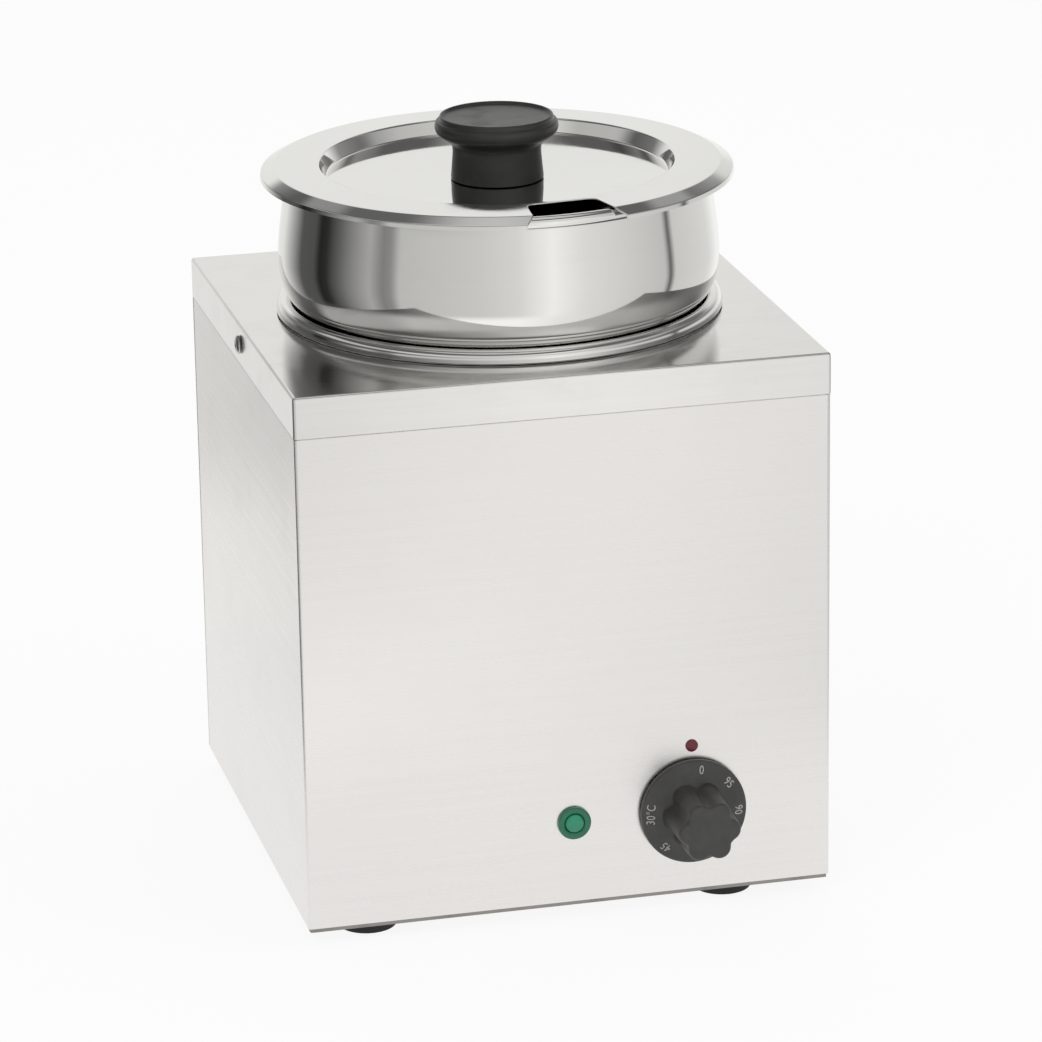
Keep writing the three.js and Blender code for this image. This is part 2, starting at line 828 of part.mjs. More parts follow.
/** The tubular heater: almost a full ring under the well's floor, with both ends turned down at the rear. */
function heaterElement() {
  const [left, right] = [heaterLeg(-1), heaterLeg(1)];
  const steps = facets.heaterRun / 2;
  const { angle } = left;
  const places = arc(point(0, 0), heater.ringRadius, Math.PI / 2 + angle, (5 * Math.PI) / 2 - angle, steps);
  const path = new THREE.CurvePath();
  path.add(new THREE.LineCurve3(left.tip, left.knee));
  path.add(new THREE.QuadraticBezierCurve3(left.knee, left.corner, left.end));
  path.add(new THREE.CatmullRomCurve3(places.map(({ x, y }) => new THREE.Vector3(x, y, level.heater))));
  path.add(new THREE.QuadraticBezierCurve3(right.end, right.corner, right.knee));
  path.add(new THREE.LineCurve3(right.knee, right.tip));
  return tube(path, heater.tubeRadius, facets.heaterRun, facets.heater);
}

/** A flat bar across the ring that the nut presses up against the heater. */
function clampBar() {
  const reach = heater.ringRadius + heater.tubeRadius + clamp.overhang;
  const shape = rectangle(-reach, -clamp.width / 2, reach, clamp.width / 2);
  shape.holes.push(circle(clamp.studRadius + fit.hole, facets.screw));
  return raise(shape, level.clampUnder, level.clampTop);
}

/** A strap bent under the bulb, with an ear on each side against the well's floor. */
function bulbClip() {
  const top = level.wellUnder - fit.seat;
  const half = bulb.radius + fit.seat;
  const ear = half + bulb.clipSheet + bulb.clipEar;
  const line = roundedLine([
    [-ear, top],
    [-half, top],
    [-half, top - 2 * half, bulb.radius],
    [half, top - 2 * half, bulb.radius],
    [half, top],
    [ear, top],
  ]);
  const strap = prism(new THREE.Shape(sheetSection(line, -bulb.clipSheet)), 0, bulb.clipWidth);
  strap.rotateX(Math.PI / 2).rotateZ(Math.PI / 2).translate(-bulb.clipWidth / 2, bulb.offset, 0);
  return toSolid(strap);
}

/** The cutout: a round switch against the well's floor, with two flat tabs below. */
function cutoutSolid() {
  const top = level.wellUnder - fit.seat;
  const under = top - cutout.height;
  const can = bar(cutout.radius, under, top, facets.part, 0, cutoutY);
  const tabs = [-1, 1].map((side) => tabSolid((side * cutout.tabSpan) / 2, cutoutY, top, under - tab.length));
  return joined(can, ...tabs);
}

/** The sensor's thin tube: from the bulb's end, down under the heater, to the top of the thermostat. */
function capillaryRun() {
  const start = [bulbHalf + fit.seat, bulb.offset, level.bulb];
  const under = level.clampUnder - capillary.dip;
  const top = dialPlace[2] + thermostat.height / 2;
  const y = front + casing.sheet + fit.seat + thermostat.depth / 2;
  return thinRun(
    [
      start,
      [bulbHalf + bulb.radius, bulb.offset, level.bulb],
      [(bulbHalf + dialPlace[0]) / 2, bulb.offset / 2, under],
      [dialPlace[0], -heater.ringRadius, under - capillary.dip],
      [dialPlace[0], y, top + capillary.lead],
      [dialPlace[0], y, top + fit.seat],
    ],
    capillary.radius,
  );
}

function heatingPieces() {
  const studTop = level.wellUnder - fit.seat;
  const nutFoot = level.clampUnder - fit.seat - clamp.nutHeight;
  const stud = bar(clamp.studRadius, nutFoot - clamp.studTail, studTop, facets.screw);
  const nut = piece('clamp_nut', nutSolid(clamp.nutRadius, clamp.nutHeight, clamp.studRadius), platedSteel);
  const sensor = piece('sensor_bulb', bar(bulb.radius, -bulbHalf, bulbHalf, facets.screw), copper);
  return assembly([
    piece('heater_element', heaterElement(), platedSteel),
    piece('heater_clamp', clampBar(), platedSteel),
    piece('clamp_stud', stud, platedSteel),
    assembly([nut], [0, 0, nutFoot]),
    assembly([sensor], [0, bulb.offset, level.bulb], turns.right),
    piece('bulb_clip', bulbClip(), platedSteel),
    piece('overheat_cutout', cutoutSolid(), blackPlastic),
    piece('capillary_tube', capillaryRun(), copper),
  ]);
}

// Controls, built along Z out of the front panel

const panelBack = -casing.sheet - fit.seat;

/** The thermostat: a block with a bushing through the panel and a bore for the spindle. */
function thermostatSolid() {
  const [halfWidth, halfHeight] = [thermostat.width / 2, thermostat.height / 2];
  const bodyFoot = panelBack - thermostat.depth;
  const body = block([-halfWidth, -halfHeight, bodyFoot], [halfWidth, halfHeight, panelBack]);
  const bush = bar(thermostat.bushRadius, panelBack - fit.overrun, fit.seat);
  const bore = bar(spindle.radius + fit.hole, -spindle.inner - fit.seat, fit.seat + fit.overrun);
  const threads = [-1, 1].map((side) => {
    const x = (side * thermostat.screwSpan) / 2;
    return bar(screw.radius + fit.hole, panelBack - thermostat.screwLength, fit.overrun, facets.screw, x);
  });
  return without(joined(body, bush), bore, ...threads);
}

function thermostatPieces() {
  const reach = thermostat.screwSpan / 2;
  const fixing = screwSolid(screw, thermostat.screwLength);
  return assembly(
    [
      piece('thermostat_body', thermostatSolid(), whitePlastic),
      assembly([piece('thermostat_screw_left', fixing, platedSteel)], [-reach, 0, fit.seat]),
      assembly([piece('thermostat_screw_right', fixing, platedSteel)], [reach, 0, fit.seat]),
    ],
    dialPlace,
    turns.front,
  );
}

/** The lamp's green ring and the barrel that passes through the panel. */
function lampBezel() {
  const bore = lamp.lensRadius + fit.seat;
  const line = roundedLine([
    [bore, -lamp.barrelLength],
    [lamp.barrelRadius, -lamp.barrelLength],
    [lamp.barrelRadius, fit.seat],
    [lamp.bezelRadius, fit.seat],
    [lamp.bezelRadius, lamp.bezelHeight, lamp.edgeFold],
    [lamp.faceRadius, lamp.bezelHeight],
    [bore, lamp.bezelHeight - lamp.faceDrop],
  ]);
  return revolve(line, facets.part);
}

function lampLens() {
  const foot = point(0, -lamp.barrelLength);
  const top = dome(lamp.lensRadius, lamp.bezelHeight - lamp.lensDrop, lamp.lensRise);
  return revolve([...top, point(lamp.lensRadius, foot.y), foot], facets.part);
}

/** The lamp's body behind the panel, with two flat tabs. */
function lampBody() {
  const top = -lamp.barrelLength - fit.seat;
  const under = top - lamp.bodyLength;
  const tabs = [-1, 1].map((side) => tabSolid((side * lamp.barrelRadius) / 2, 0, top, under - tab.length));
  return joined(bar(lamp.barrelRadius, under, top), ...tabs);
}

function lampPieces() {
  const clipFoot = panelBack - lamp.clipThickness;
  const clip = ring(lamp.barrelRadius + fit.seat, lamp.clipRadius, clipFoot, panelBack, facets.part);
  return assembly(
    [
      piece('lamp_bezel', lampBezel(), greenPlastic),
      piece('lamp_lens', lampLens(), greenPlastic),
      piece('lamp_body', lampBody(), whitePlastic),
      piece('lamp_clip', clip, platedSteel),
    ],
    lampPlace,
    turns.front,
  );
}

/** The red index: a domed head on a stem through the panel. */
function indexPlug() {
  const stem = [point(index.stemRadius, fit.seat), point(index.stemRadius, -index.stemLength)];
  const head = dome(index.radius, fit.seat, index.rise);
  return revolve([...head, ...stem, point(0, -index.stemLength)], facets.part);
}

function controlPieces() {
  const plug = piece('index_plug', indexPlug(), redPlastic);
  return assembly([thermostatPieces(), lampPieces(), assembly([plug], indexPlace, turns.front)]);
}

// Supply: terminal block, earth stud and cable gland

/** A terminal block: a body with barrier ribs, standing on two screwed lugs. */
function terminalSolid() {
  const { width, depth, height, coreHeight, lug, lugDepth, lugHeight, ribs, ribSheet } = terminal;
  const coreHalf = width / 2 - lug;
  const core = block([-coreHalf, -depth / 2, 0], [coreHalf, depth / 2, coreHeight]);
  const lugs = block([-width / 2, -lugDepth / 2, 0], [width / 2, lugDepth / 2, lugHeight]);
  const barriers = Array.from({ length: ribs }, (_, i) => {
    const x = (i * (2 * coreHalf - ribSheet)) / (ribs - 1) - coreHalf;
    return block([x, -depth / 2, lugHeight], [x + ribSheet, depth / 2, height]);
  });
  const holes = [-lugReach, lugReach].map((x) =>
    bar(screw.radius + fit.hole, -fit.overrun, lugHeight + fit.overrun, facets.screw, x),
  );
  return without(joined(core, lugs, ...barriers), ...holes);
}

function terminalPieces() {
  const fixing = screwSolid(screw, terminal.lugHeight + fit.seat + base.sheet);
  const headFoot = terminal.lugHeight + fit.seat;
  return assembly(
    [
      piece('terminal_block', terminalSolid(), whitePlastic),
      assembly([piece('terminal_screw_left', fixing, platedSteel)], [-lugReach, 0, headFoot]),
      assembly([piece('terminal_screw_right', fixing, platedSteel)], [lugReach, 0, headFoot]),
    ],
    terminalPlace,
  );
}

function earthPieces() {
  return assembly(
    [
      piece('earth_stud', bar(earth.radius, 0, earth.height, facets.screw), brass),
      piece('earth_nut', nutSolid(earth.nutRadius, earth.nutHeight, earth.radius), brass),
    ],
    earthPlace,
  );
}

/** The gland's body: a thread through the rear panel, a hexagon outside and a neck for the cap. */
function glandBody() {
  const { boreRadius, threadRadius, threadLength, hexRadius, hexHeight, neckRadius, capRoof, reach } = gland;
  const hex = circle(hexRadius, facets.nut);
  hex.holes.push(circle(boreRadius));
  const hexTop = fit.seat + hexHeight;
  const neckTop = reach - capRoof - fit.seat;
  const shank = revolve(
    [
      point(boreRadius, -threadLength),
      point(threadRadius, -threadLength),
      point(threadRadius, fit.seat),
      point(neckRadius, hexTop),
      point(neckRadius, neckTop),
      point(boreRadius, neckTop),
    ],
    facets.part,
  );
  return joined(raise(hex, fit.seat, hexTop), shank);
}

/** The gland's cap: a sleeve over the neck with a bevelled roof that the cord's hole passes through. */
function glandCap() {
  const { boreRadius, hexHeight, neckRadius, capRadius, capRoof, capBevel, reach } = gland;
  const sleeve = neckRadius + fit.hole;
  const sleeveFoot = hexHeight + 2 * fit.seat;
  return revolve(
    [
      point(sleeve, sleeveFoot),
      point(capRadius, sleeveFoot),
      point(capRadius, reach - capBevel),
      point(capRadius - capBevel, reach),
      point(boreRadius, reach),
      point(boreRadius, reach - capRoof),
      point(sleeve, reach - capRoof),
    ],
    facets.part,
  );
}

function glandPieces() {
  const nut = nutSolid(gland.nutRadius, gland.nutHeight, gland.threadRadius);
  return assembly(
    [
      piece('cable_gland', glandBody(), blackPlastic),
      piece('gland_cap', glandCap(), blackPlastic),
      assembly([piece('gland_nut', nut, blackPlastic)], [0, 0, panelBack - gland.nutHeight]),
    ],
    glandPlace,
    turns.rear,
  );
}

// Wires: each runs from one connection to another, and leaves both in that connection's direction

function moved(place, direction, distance) {
  return place.map((value, i) => value + direction[i] * distance);
}

function wireSolid(from, to, sag) {
  const leaveFrom = moved(from.place, from.direction, wire.lead);
  const leaveTo = moved(to.place, to.direction, wire.lead);
  const middle = leaveFrom.map((value, i) => (value + leaveTo[i]) / 2);
  return thinRun([from.place, leaveFrom, moved(middle, [0, 0, -1], sag), leaveTo, to.place], wire.radius);
}

function wirePieces() {
  const poles = terminal.ribs - 1;
  const polePitch = (terminal.width - 2 * terminal.lug) / poles;
  const pole = (i) => {
    const offset = [(i - (poles - 1) / 2) * polePitch, 0, terminal.coreHeight + fit.seat];
    return { place: terminalPlace.map((value, axis) => value + offset[axis]), direction: [0, 0, 1] };
  };
  const tabBelow = (side) => {
    const z = level.wellUnder - cutout.height - tab.length - 2 * fit.seat;
    return { place: [(side * cutout.tabSpan) / 2, cutoutY, z], direction: [0, 0, -1] };
  };
  const heaterEnd = (side) => ({
    place: moved(heaterLeg(side).tip.toArray(), [0, 0, -1], fit.seat),
    direction: [0, 0, -1],
  });
  const thermostatTab = (side) => ({
    place: [
      dialPlace[0] + (side * thermostat.tabSpan) / 2,
      front + casing.sheet + 2 * fit.seat + thermostat.depth,
      dialPlace[2] + thermostat.tabRise,
    ],
    direction: [0, 1, 0],
  });
  const lampTab = {
    place: [
      lampPlace[0] - lamp.barrelRadius / 2,
      front + lamp.barrelLength + lamp.bodyLength + tab.length + 2 * fit.seat,
      lampPlace[2],
    ],
    direction: [0, 1, 0],
  };
  return assembly([
    piece('wire_supply_thermostat', wireSolid(pole(2), thermostatTab(-1), 0), redSilicone),
    piece('wire_thermostat_heater', wireSolid(thermostatTab(1), heaterEnd(1), 0), redSilicone),
    piece('wire_supply_cutout', wireSolid(pole(1), tabBelow(-1), wire.sag), blueSilicone),
    piece('wire_cutout_heater', wireSolid(tabBelow(1), heaterEnd(-1), wire.sag), blueSilicone),
    piece('wire_supply_lamp', wireSolid(pole(0), lampTab, 0), blueSilicone),
  ]);
}

// Pot

/** The pot: a drawn body with a bulged shoulder that rests on the well's rim, and a rolled rim. */
function potSolid() {
  const hip = level.seat - pot.hipDrop;
  const rollRadius = pot.rimRadius - pot.sheet;
  const rollLevel = level.potRim - pot.rimRadius;
  const bottom = roundedLine(
    [
      [0, level.potUnder],
      [potWall, level.potUnder, pot.cornerRadius],
      [potWall, hip],
    ],
    facets.bend,
  ).slice(0, -1);
  const side = new THREE.SplineCurve([
    point(potWall, hip),
    point(seatRadius, level.seat),
    point(seatRadius + pot.shoulderOut, level.seat + pot.shoulderRise),
    point(seatRadius + pot.bulgeOut, level.seat + pot.bulgeRise),
    point(seatRadius + pot.neckOut, level.seat + pot.neckRise),
    point(potThroat, rollLevel),
  ]).getPoints(facets.spline);
  const rim = arc(point(rimMiddle, rollLevel), rollRadius, Math.PI, -Math.PI / 4, facets.roll);
  return revolve(sheetSection([...bottom, ...side.slice(0, -1), ...rim], pot.sheet));
}

// Lid and its knob

/** A tool that cuts the ladle notch out of the lid's flange. */
function notchTool() {
  const inner = lidCrest + notch.innerRoom;
  const knee = lidRadius - notch.flare;
  const outer = lidRadius + notch.flare;
  const flareEnd = notch.outerHalf + 2 * notch.flare;
  const line = roundedLine([
    [-flareEnd, -outer],
    [-notch.outerHalf, -knee, notch.flareCorner],
    [-notch.innerHalf, -inner, notch.corner],
    [notch.innerHalf, -inner, notch.corner],
    [notch.outerHalf, -knee, notch.flareCorner],
    [flareEnd, -outer],
  ]);
  const low = level.lidEdge - lid.edgeLip - fit.overrun;
  const geometry = prism(new THREE.Shape(line), low, level.lidCrest + fit.overrun);
  return toSolid(geometry.rotateZ(THREE.MathUtils.degToRad(notch.turn)));
}

/** The lid: a dished disc, a flat flange round it and an edge rolled down over the pot's rim. */
function lidSolid() {
  const line = roundedLine([
    [knobScrew.radius + fit.hole, level.lidMiddle],
    [lid.dishRadius, level.lidMiddle],
    [lidCrest - lid.recessSlope, level.lidFloor, lid.recessFold],
    [lidCrest, level.lidCrest, lid.crestFold],
    [rimMiddle + lid.rollStart, level.lidFlange, lid.rollRadius],
    [lidRadius, level.lidEdge, lid.edgeFold],
    [lidRadius, level.lidEdge - lid.edgeLip],
  ]);
  return without(revolve(sheetSection(line, -lid.sheet)), notchTool());
}

/** The knob: a waisted stem under a dished head, with a pocket for its threaded insert. */
function knobSolid() {
  const { height, headRadius } = knob;
  const outline = knobOutlineShares.map((shares) => point(shares[0] * headRadius, shares[1] * height));
  const pocket = knob.insertRadius + fit.seat;
  const roof = knob.insertDepth + fit.seat;
  return revolve([point(0, roof), point(pocket, roof), point(pocket, 0), ...outline], 2 * facets.part);
}

function lidPieces() {
  const washerTop = level.lidMiddle - lid.sheet - fit.seat;
  const washerFoot = washerTop - knobWasher.thickness;
  const headFoot = washerFoot - fit.seat;
  const hole = knobScrew.radius + fit.hole;
  const insert = ring(knobScrew.radius + fit.seat, knob.insertRadius, 0, knob.insertDepth, facets.screw);
  const washer = ring(hole, knobWasher.radius, washerFoot, washerTop, facets.part);
  const fixing = screwSolid(knobScrew, level.knobFoot + knobScrew.reach - headFoot);
  return assembly([
    piece('lid', lidSolid(), polishedSteel),
    assembly(
      [piece('lid_knob', knobSolid(), blackPlastic), piece('knob_insert', insert, brass)],
      [0, 0, level.knobFoot],
    ),
    assembly([piece('knob_screw', fixing, platedSteel)], [0, 0, headFoot], turns.down),
    piece('knob_washer', washer, platedSteel),
  ]);
}

// Dial, built along Z out of the front panel

/** The grip's outline, which the bevel then widens to full size: a circle with shallow lobes. */
function gripShape() {
  const steps = dial.lobes * facets.roll;
  const places = Array.from({ length: steps }, (_, step) => {
    const angle = (2 * Math.PI * step) / steps;
    const radius = dial.gripRadius + dial.lobeDepth * Math.cos(dial.lobes * angle) - dial.gripFold;
    return point(radius * Math.cos(angle), radius * Math.sin(angle));
  });
  return new THREE.Shape(places);
}

/** Narrows a raised geometry evenly from its foot to its top, by a share of its width. */
function drawIn(geometry, share) {
  geometry.computeBoundingBox();
  const { min, max } = geometry.boundingBox;
  const places = geometry.getAttribute('position');
  for (let i = 0; i < places.count; i += 1) {
    const scale = 1 - (share * (places.getZ(i) - min.z)) / (max.z - min.z);
    places.setXY(i, places.getX(i) * scale, places.getY(i) * scale);
  }
  return geometry;
}

/** A round bar along Z with one flat side, for the spindle and for its bore. */
function flattedBar(radius, flat, from, to) {
  const clear = radius + fit.overrun;
  const side = block([-clear, radius - flat, from - fit.overrun], [clear, clear, to + fit.overrun]);
  return without(bar(radius, from, to), side);
}

/** The dial: a coned skirt and a lobed grip, hollow underneath round a boss for the spindle. */
function dialSolid() {
  const edgeTop = dial.skirtLift + dial.skirtEdge;
  const faceTop = edgeTop + dial.skirtCone;
  const inner = dial.skirtRadius - dial.skirtWall;
  const skirt = revolve(
    [
      point(0, faceTop),
      point(dial.gripRadius, faceTop),
      point(dial.skirtRadius - dial.skirtBevel, edgeTop),
      point(dial.skirtRadius, edgeTop - dial.skirtBevel),
      point(dial.skirtRadius, dial.skirtLift),
      point(inner, dial.skirtLift),
      point(inner, edgeTop - dial.skirtWall),
      point(dial.gripRadius, faceTop - dial.skirtWall),
      point(0, faceTop - dial.skirtWall),
    ],
    2 * facets.part,
  );
  const gripFoot = faceTop - dial.skirtWall / 2;
  const grip = new THREE.ExtrudeGeometry(gripShape(), {
    depth: dial.reach - gripFoot - 2 * dial.gripFold,
    bevelThickness: dial.gripFold,
    bevelSize: dial.gripFold,
    bevelSegments: facets.fold,
  });
  const drafted = drawIn(grip.translate(0, 0, gripFoot + dial.gripFold), dial.draft);
  const boss = bar(dial.bossRadius, dial.skirtLift, faceTop);
  const bore = flattedBar(spindle.radius + fit.seat, spindle.flat, 0, spindle.outer + fit.seat);
  return without(joined(skirt, toSolid(drafted), boss), bore);
}

function dialPieces() {
  const shaft = flattedBar(spindle.radius, spindle.flat, -spindle.inner, spindle.outer);
  const pieces = [piece('dial_knob', dialSolid(), blackPlastic), piece('dial_spindle', shaft, brass)];
  return assembly(pieces, dialPlace, turns.front);
}

// The whole machine

const bainMarie = new THREE.Group();
bainMarie.add(
  assembly(
    [
      casingPieces(),
      footPieces(),
      wellPieces(),
      heatingPieces(),
      controlPieces(),
      terminalPieces(),
      earthPieces(),
      glandPieces(),
      wirePieces(),
      assembly([piece('pot', potSolid(), polishedSteel)]),
      lidPieces(),
      dialPieces(),
    ],
    [0, machineY, 0],
  ),
);

export default bainMarie;
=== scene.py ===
"""A countertop bain marie: fine pieces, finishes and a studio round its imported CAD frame.

Sizes in the dataclasses are in millimetres and angles in degrees; the mesh builders turn them into
metres as their last step. Each fine piece keeps the place of the CAD node that it stands for.
"""

import logging
import math
from collections.abc import Sequence
from dataclasses import dataclass, replace
from enum import Enum

import bmesh
import bpy
import numpy as np
from mathutils import Euler, Matrix, Vector


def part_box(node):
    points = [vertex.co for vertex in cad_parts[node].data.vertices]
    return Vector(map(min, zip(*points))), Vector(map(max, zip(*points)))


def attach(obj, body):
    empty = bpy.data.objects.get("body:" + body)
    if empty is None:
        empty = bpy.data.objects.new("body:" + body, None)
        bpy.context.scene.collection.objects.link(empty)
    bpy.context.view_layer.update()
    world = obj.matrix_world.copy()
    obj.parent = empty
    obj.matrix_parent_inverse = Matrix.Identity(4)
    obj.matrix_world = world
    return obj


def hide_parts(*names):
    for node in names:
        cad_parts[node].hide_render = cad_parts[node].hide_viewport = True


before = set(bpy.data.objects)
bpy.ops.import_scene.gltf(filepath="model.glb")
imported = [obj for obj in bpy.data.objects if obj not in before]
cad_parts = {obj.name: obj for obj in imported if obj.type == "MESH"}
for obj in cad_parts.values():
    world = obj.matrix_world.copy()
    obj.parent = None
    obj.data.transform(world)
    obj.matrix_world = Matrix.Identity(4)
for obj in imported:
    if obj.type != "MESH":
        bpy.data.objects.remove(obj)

LOG = logging.getLogger("bain_marie")
MM = 0.001  # one millimetre, in metres
CRISP = 32.0  # the angle between faces above which an edge stays crisp, in degrees
TINY = 1e-6  # what counts as nothing
WELD = 1e-5  # corners that lie closer than this, in millimetres, become one
FLAT_WEIGHT = 90  # how far large faces outweigh small ones in the shading
PAST = 1.0  # how far a cutting tool reaches past what it cuts, in millimetres
WHITE = (1.0, 1.0, 1.0, 1.0)
MIX_NUMBERS = (2, 3)  # a Mix node's two inputs for numbers
MIX_COLOURS = (6, 7)  # its two inputs for colours
MIX_COLOUR = 2  # its output for colours
CORNERS = ("front_left", "front_right", "rear_left", "rear_right")
Outline = list[np.ndarray]


class Turn(Enum):
    """Which way a piece that is built along its own Z axis points on the machine."""

    UP = (0.0, 0.0, 0.0)
    DOWN = (math.pi, 0.0, 0.0)
    FRONT = (math.pi / 2, 0.0, 0.0)
    REAR = (-math.pi / 2, 0.0, 0.0)
    LEFT = (0.0, -math.pi / 2, 0.0)
    RIGHT = (0.0, math.pi / 2, 0.0)


@dataclass(frozen=True)
class Spot:
    """A place on the machine, in millimetres in the row frame, and the way that a piece there points."""

    x: float
    y: float
    z: float
    turn: Turn = Turn.UP

    def matrix(self) -> Matrix:
        """Gives the matrix from the piece's own millimetres to metres in the row frame."""
        place = Matrix.Translation(Vector((self.x, self.y, self.z)) * MM)
        return place @ Euler(self.turn.value).to_matrix().to_4x4() @ Matrix.Scale(MM, 4)


ORIGIN = Spot(0.0, 0.0, 0.0)


class Slot(Enum):
    """The record's material slots."""

    POLISHED_STEEL = "polished_steel"
    BRUSHED_STEEL = "brushed_steel"
    PLATED_STEEL = "plated_steel"
    BLACK_PLASTIC = "black_plastic"
    WHITE_PLASTIC = "white_plastic"
    GREEN_PLASTIC = "green_plastic"
    RED_PLASTIC = "red_plastic"
    BLACK_RUBBER = "black_rubber"
    GLASS_WOOL = "glass_wool"
    COPPER = "copper"
    BRASS = "brass"
    RED_WIRE = "red_wire"
    BLUE_WIRE = "blue_wire"


# Outlines


def unit(vector: np.ndarray) -> np.ndarray:
    """Gives the vector at length one."""
    return vector / np.linalg.norm(vector)


def left_of(vector: np.ndarray) -> np.ndarray:
    """Gives the vector turned a quarter to the left."""
    return np.array([-vector[1], vector[0]])


def rounded_line(corners: Sequence[Sequence[float]], step: float = 9.0) -> Outline:
    """Draws an open line with an arc at each inner corner that has a radius.

    Args:
        corners: The corners as (x, y) or (x, y, radius).
        step: The most that an arc turns from one point to the next, in degrees.

    Returns:
        The points of the line.
    """
    places = [np.array(corner[:2], float) for corner in corners]
    line = [places[0]]
    for i in range(1, len(places) - 1):
        radius = corners[i][2] if len(corners[i]) > 2 else 0.0
        into = unit(places[i] - places[i - 1])
        away = unit(places[i + 1] - places[i])
        turn = math.atan2(into[0] * away[1] - into[1] * away[0], float(into @ away))
        if radius == 0.0 or abs(turn) < TINY:
            line.append(places[i])
            continue
        start = places[i] - into * radius * math.tan(abs(turn) / 2)
        centre = start + left_of(into) * math.copysign(radius, turn)
        steps = max(2, math.ceil(math.degrees(abs(turn)) / step))
        for k in range(steps + 1):
            angle = turn * k / steps
            spin = np.array([[math.cos(angle), -math.sin(angle)], [math.sin(angle), math.cos(angle)]])
            line.append(centre + spin @ (start - centre))
    line.append(places[-1])
    return line


def offset_line(line: Outline, distance: float) -> Outline:
    """Moves a line sideways.

    Args:
        line: The points of the line.
        distance: How far to its left it goes; to its right when negative.

    Returns:
        The points of the moved line.
    """
    moved = []
    for i, place in enumerate(line):
        into = place - line[max(i - 1, 0)]
        away = line[min(i + 1, len(line) - 1)] - place
        into = away if i == 0 else into
        away = into if i == len(line) - 1 else away
        into, away = unit(into), unit(away)
        normal = unit(left_of(into) + left_of(away))
        moved.append(place + normal * distance / float(normal @ left_of(into)))
    return moved


def sheet_section(line: Outline, thickness: float) -> Outline:
    """Gives the section of a bent sheet: one face is the line, the other a thickness to its left."""
    return [*line, *reversed(offset_line(line, thickness))]


def arc(centre: Sequence[float], radius: float, start: float, end: float, steps: int) -> Outline:
    """Gives points on an arc.

    Args:
        centre: The middle of the arc.
        radius: Its radius.
        start: The angle of its first point, in degrees.
        end: The angle of its last point, in degrees.
        steps: How many straight lines stand for it.

    Returns:
        The points of the arc.
    """
    angles = np.radians(np.linspace(start, end, steps + 1))
    return [np.array([centre[0] + radius * math.cos(a), centre[1] + radius * math.sin(a)]) for a in angles]


def circle(radius: float, sides: int, x: float = 0.0, y: float = 0.0) -> Outline:
    """Gives the points of a circle, its first point not repeated."""
    return arc((x, y), radius, 0.0, 360.0, sides)[:-1]


def slot_outline(length: float, width: float, x: float, y: float) -> Outline:
    """Gives the outline of a slot with round ends, along X."""
    reach = (length - width) / 2
    return [*arc((x + reach, y), width / 2, -90, 90, 12), *arc((x - reach, y), width / 2, 90, 270, 12)]


def rectangle(low_x: float, low_y: float, high_x: float, high_y: float, radius: float = 0.0) -> Outline:
    """Gives the outline of a rectangle between two corners, with round corners if a radius is given."""
    if radius == 0.0:
        corners = ((low_x, low_y), (high_x, low_y), (high_x, high_y), (low_x, high_y))
        return [np.array(corner, float) for corner in corners]
    left, right, front, back = low_x + radius, high_x - radius, low_y + radius, high_y - radius
    quarters = (((right, back), 0), ((left, back), 90), ((left, front), 180), ((right, front), 270))
    return [place for centre, start in quarters for place in arc(centre, radius, start, start + 90, 6)]


def dome_line(radius: float, foot: float, height: float, wall: float = 0.0, steps: int = 10) -> Outline:
    """Draws a dome that stands on a short wall.

    Args:
        radius: The dome's radius.
        foot: The height at which its wall starts.
        height: How far it rises in all.
        wall: The wall's share of that.
        steps: How many straight lines stand for its curve.

    Returns:
        The points of (radius, height), from the edge to the top on the axis.
    """
    crown = arc((0.0, 0.0), 1.0, 0.0, 90.0, steps)
    line = [np.array([radius * p[0], foot + height * (wall + (1 - wall) * p[1])]) for p in crown]
    line[-1][0] = 0.0
    return line


def smooth_line(controls: Sequence[Sequence[float]], divisions: int) -> Outline:
    """Draws a smooth line through points, as the CAD source's spline does.

    Args:
        controls: The points that it passes through.
        divisions: How many points it has in all, less one.

    Returns:
        The points of the line.
    """
    points = [np.array(c, float) for c in controls]
    last = len(points) - 1
    line = []
    for k in range(divisions + 1):
        along = last * k / divisions
        i = min(int(along), last - 1)
        t = along - i
        start, end = points[i], points[i + 1]
        leaving, arriving = (end - points[max(i - 1, 0)]) / 2, (points[min(i + 2, last)] - start) / 2
        cubic = 2 * start - 2 * end + leaving + arriving
        square = -3 * start + 3 * end - 2 * leaving - arriving
        line.append(cubic * t**3 + square * t**2 + leaving * t + start)
    return line


# Meshes


def linked(made: bpy.types.Object) -> bpy.types.Object:
    """Links an object to the scene and gives it back."""
    bpy.context.scene.collection.objects.link(made)
    return made


def mesh_object(
    name: str, vertices: Sequence, faces: Sequence, spot: Spot, sharp: float = CRISP
) -> bpy.types.Object:
    """Makes an object whose faces point out and whose shading breaks only at sharp edges.

    Args:
        name: The object's name.
        vertices: Its corners, in millimetres in the spot's frame.
        faces: Its faces as lists of corner numbers.
        spot: Where it stands.
        sharp: The angle between faces above which an edge stays crisp, in degrees.

    Returns:
        The new object, linked to the scene, with its place in its mesh.
    """
    mesh = bpy.data.meshes.new(name)
    mesh.from_pydata([tuple(v) for v in vertices], [], [tuple(f) for f in faces])
    work = bmesh.new()
    work.from_mesh(mesh)
    bmesh.ops.remove_doubles(work, verts=work.verts, dist=WELD)
    bmesh.ops.recalc_face_normals(work, faces=work.faces)
    work.to_mesh(mesh)
    work.free()
    mesh.transform(spot.matrix())
    made = linked(bpy.data.objects.new(name, mesh))
    soften(made, sharp)
    return made


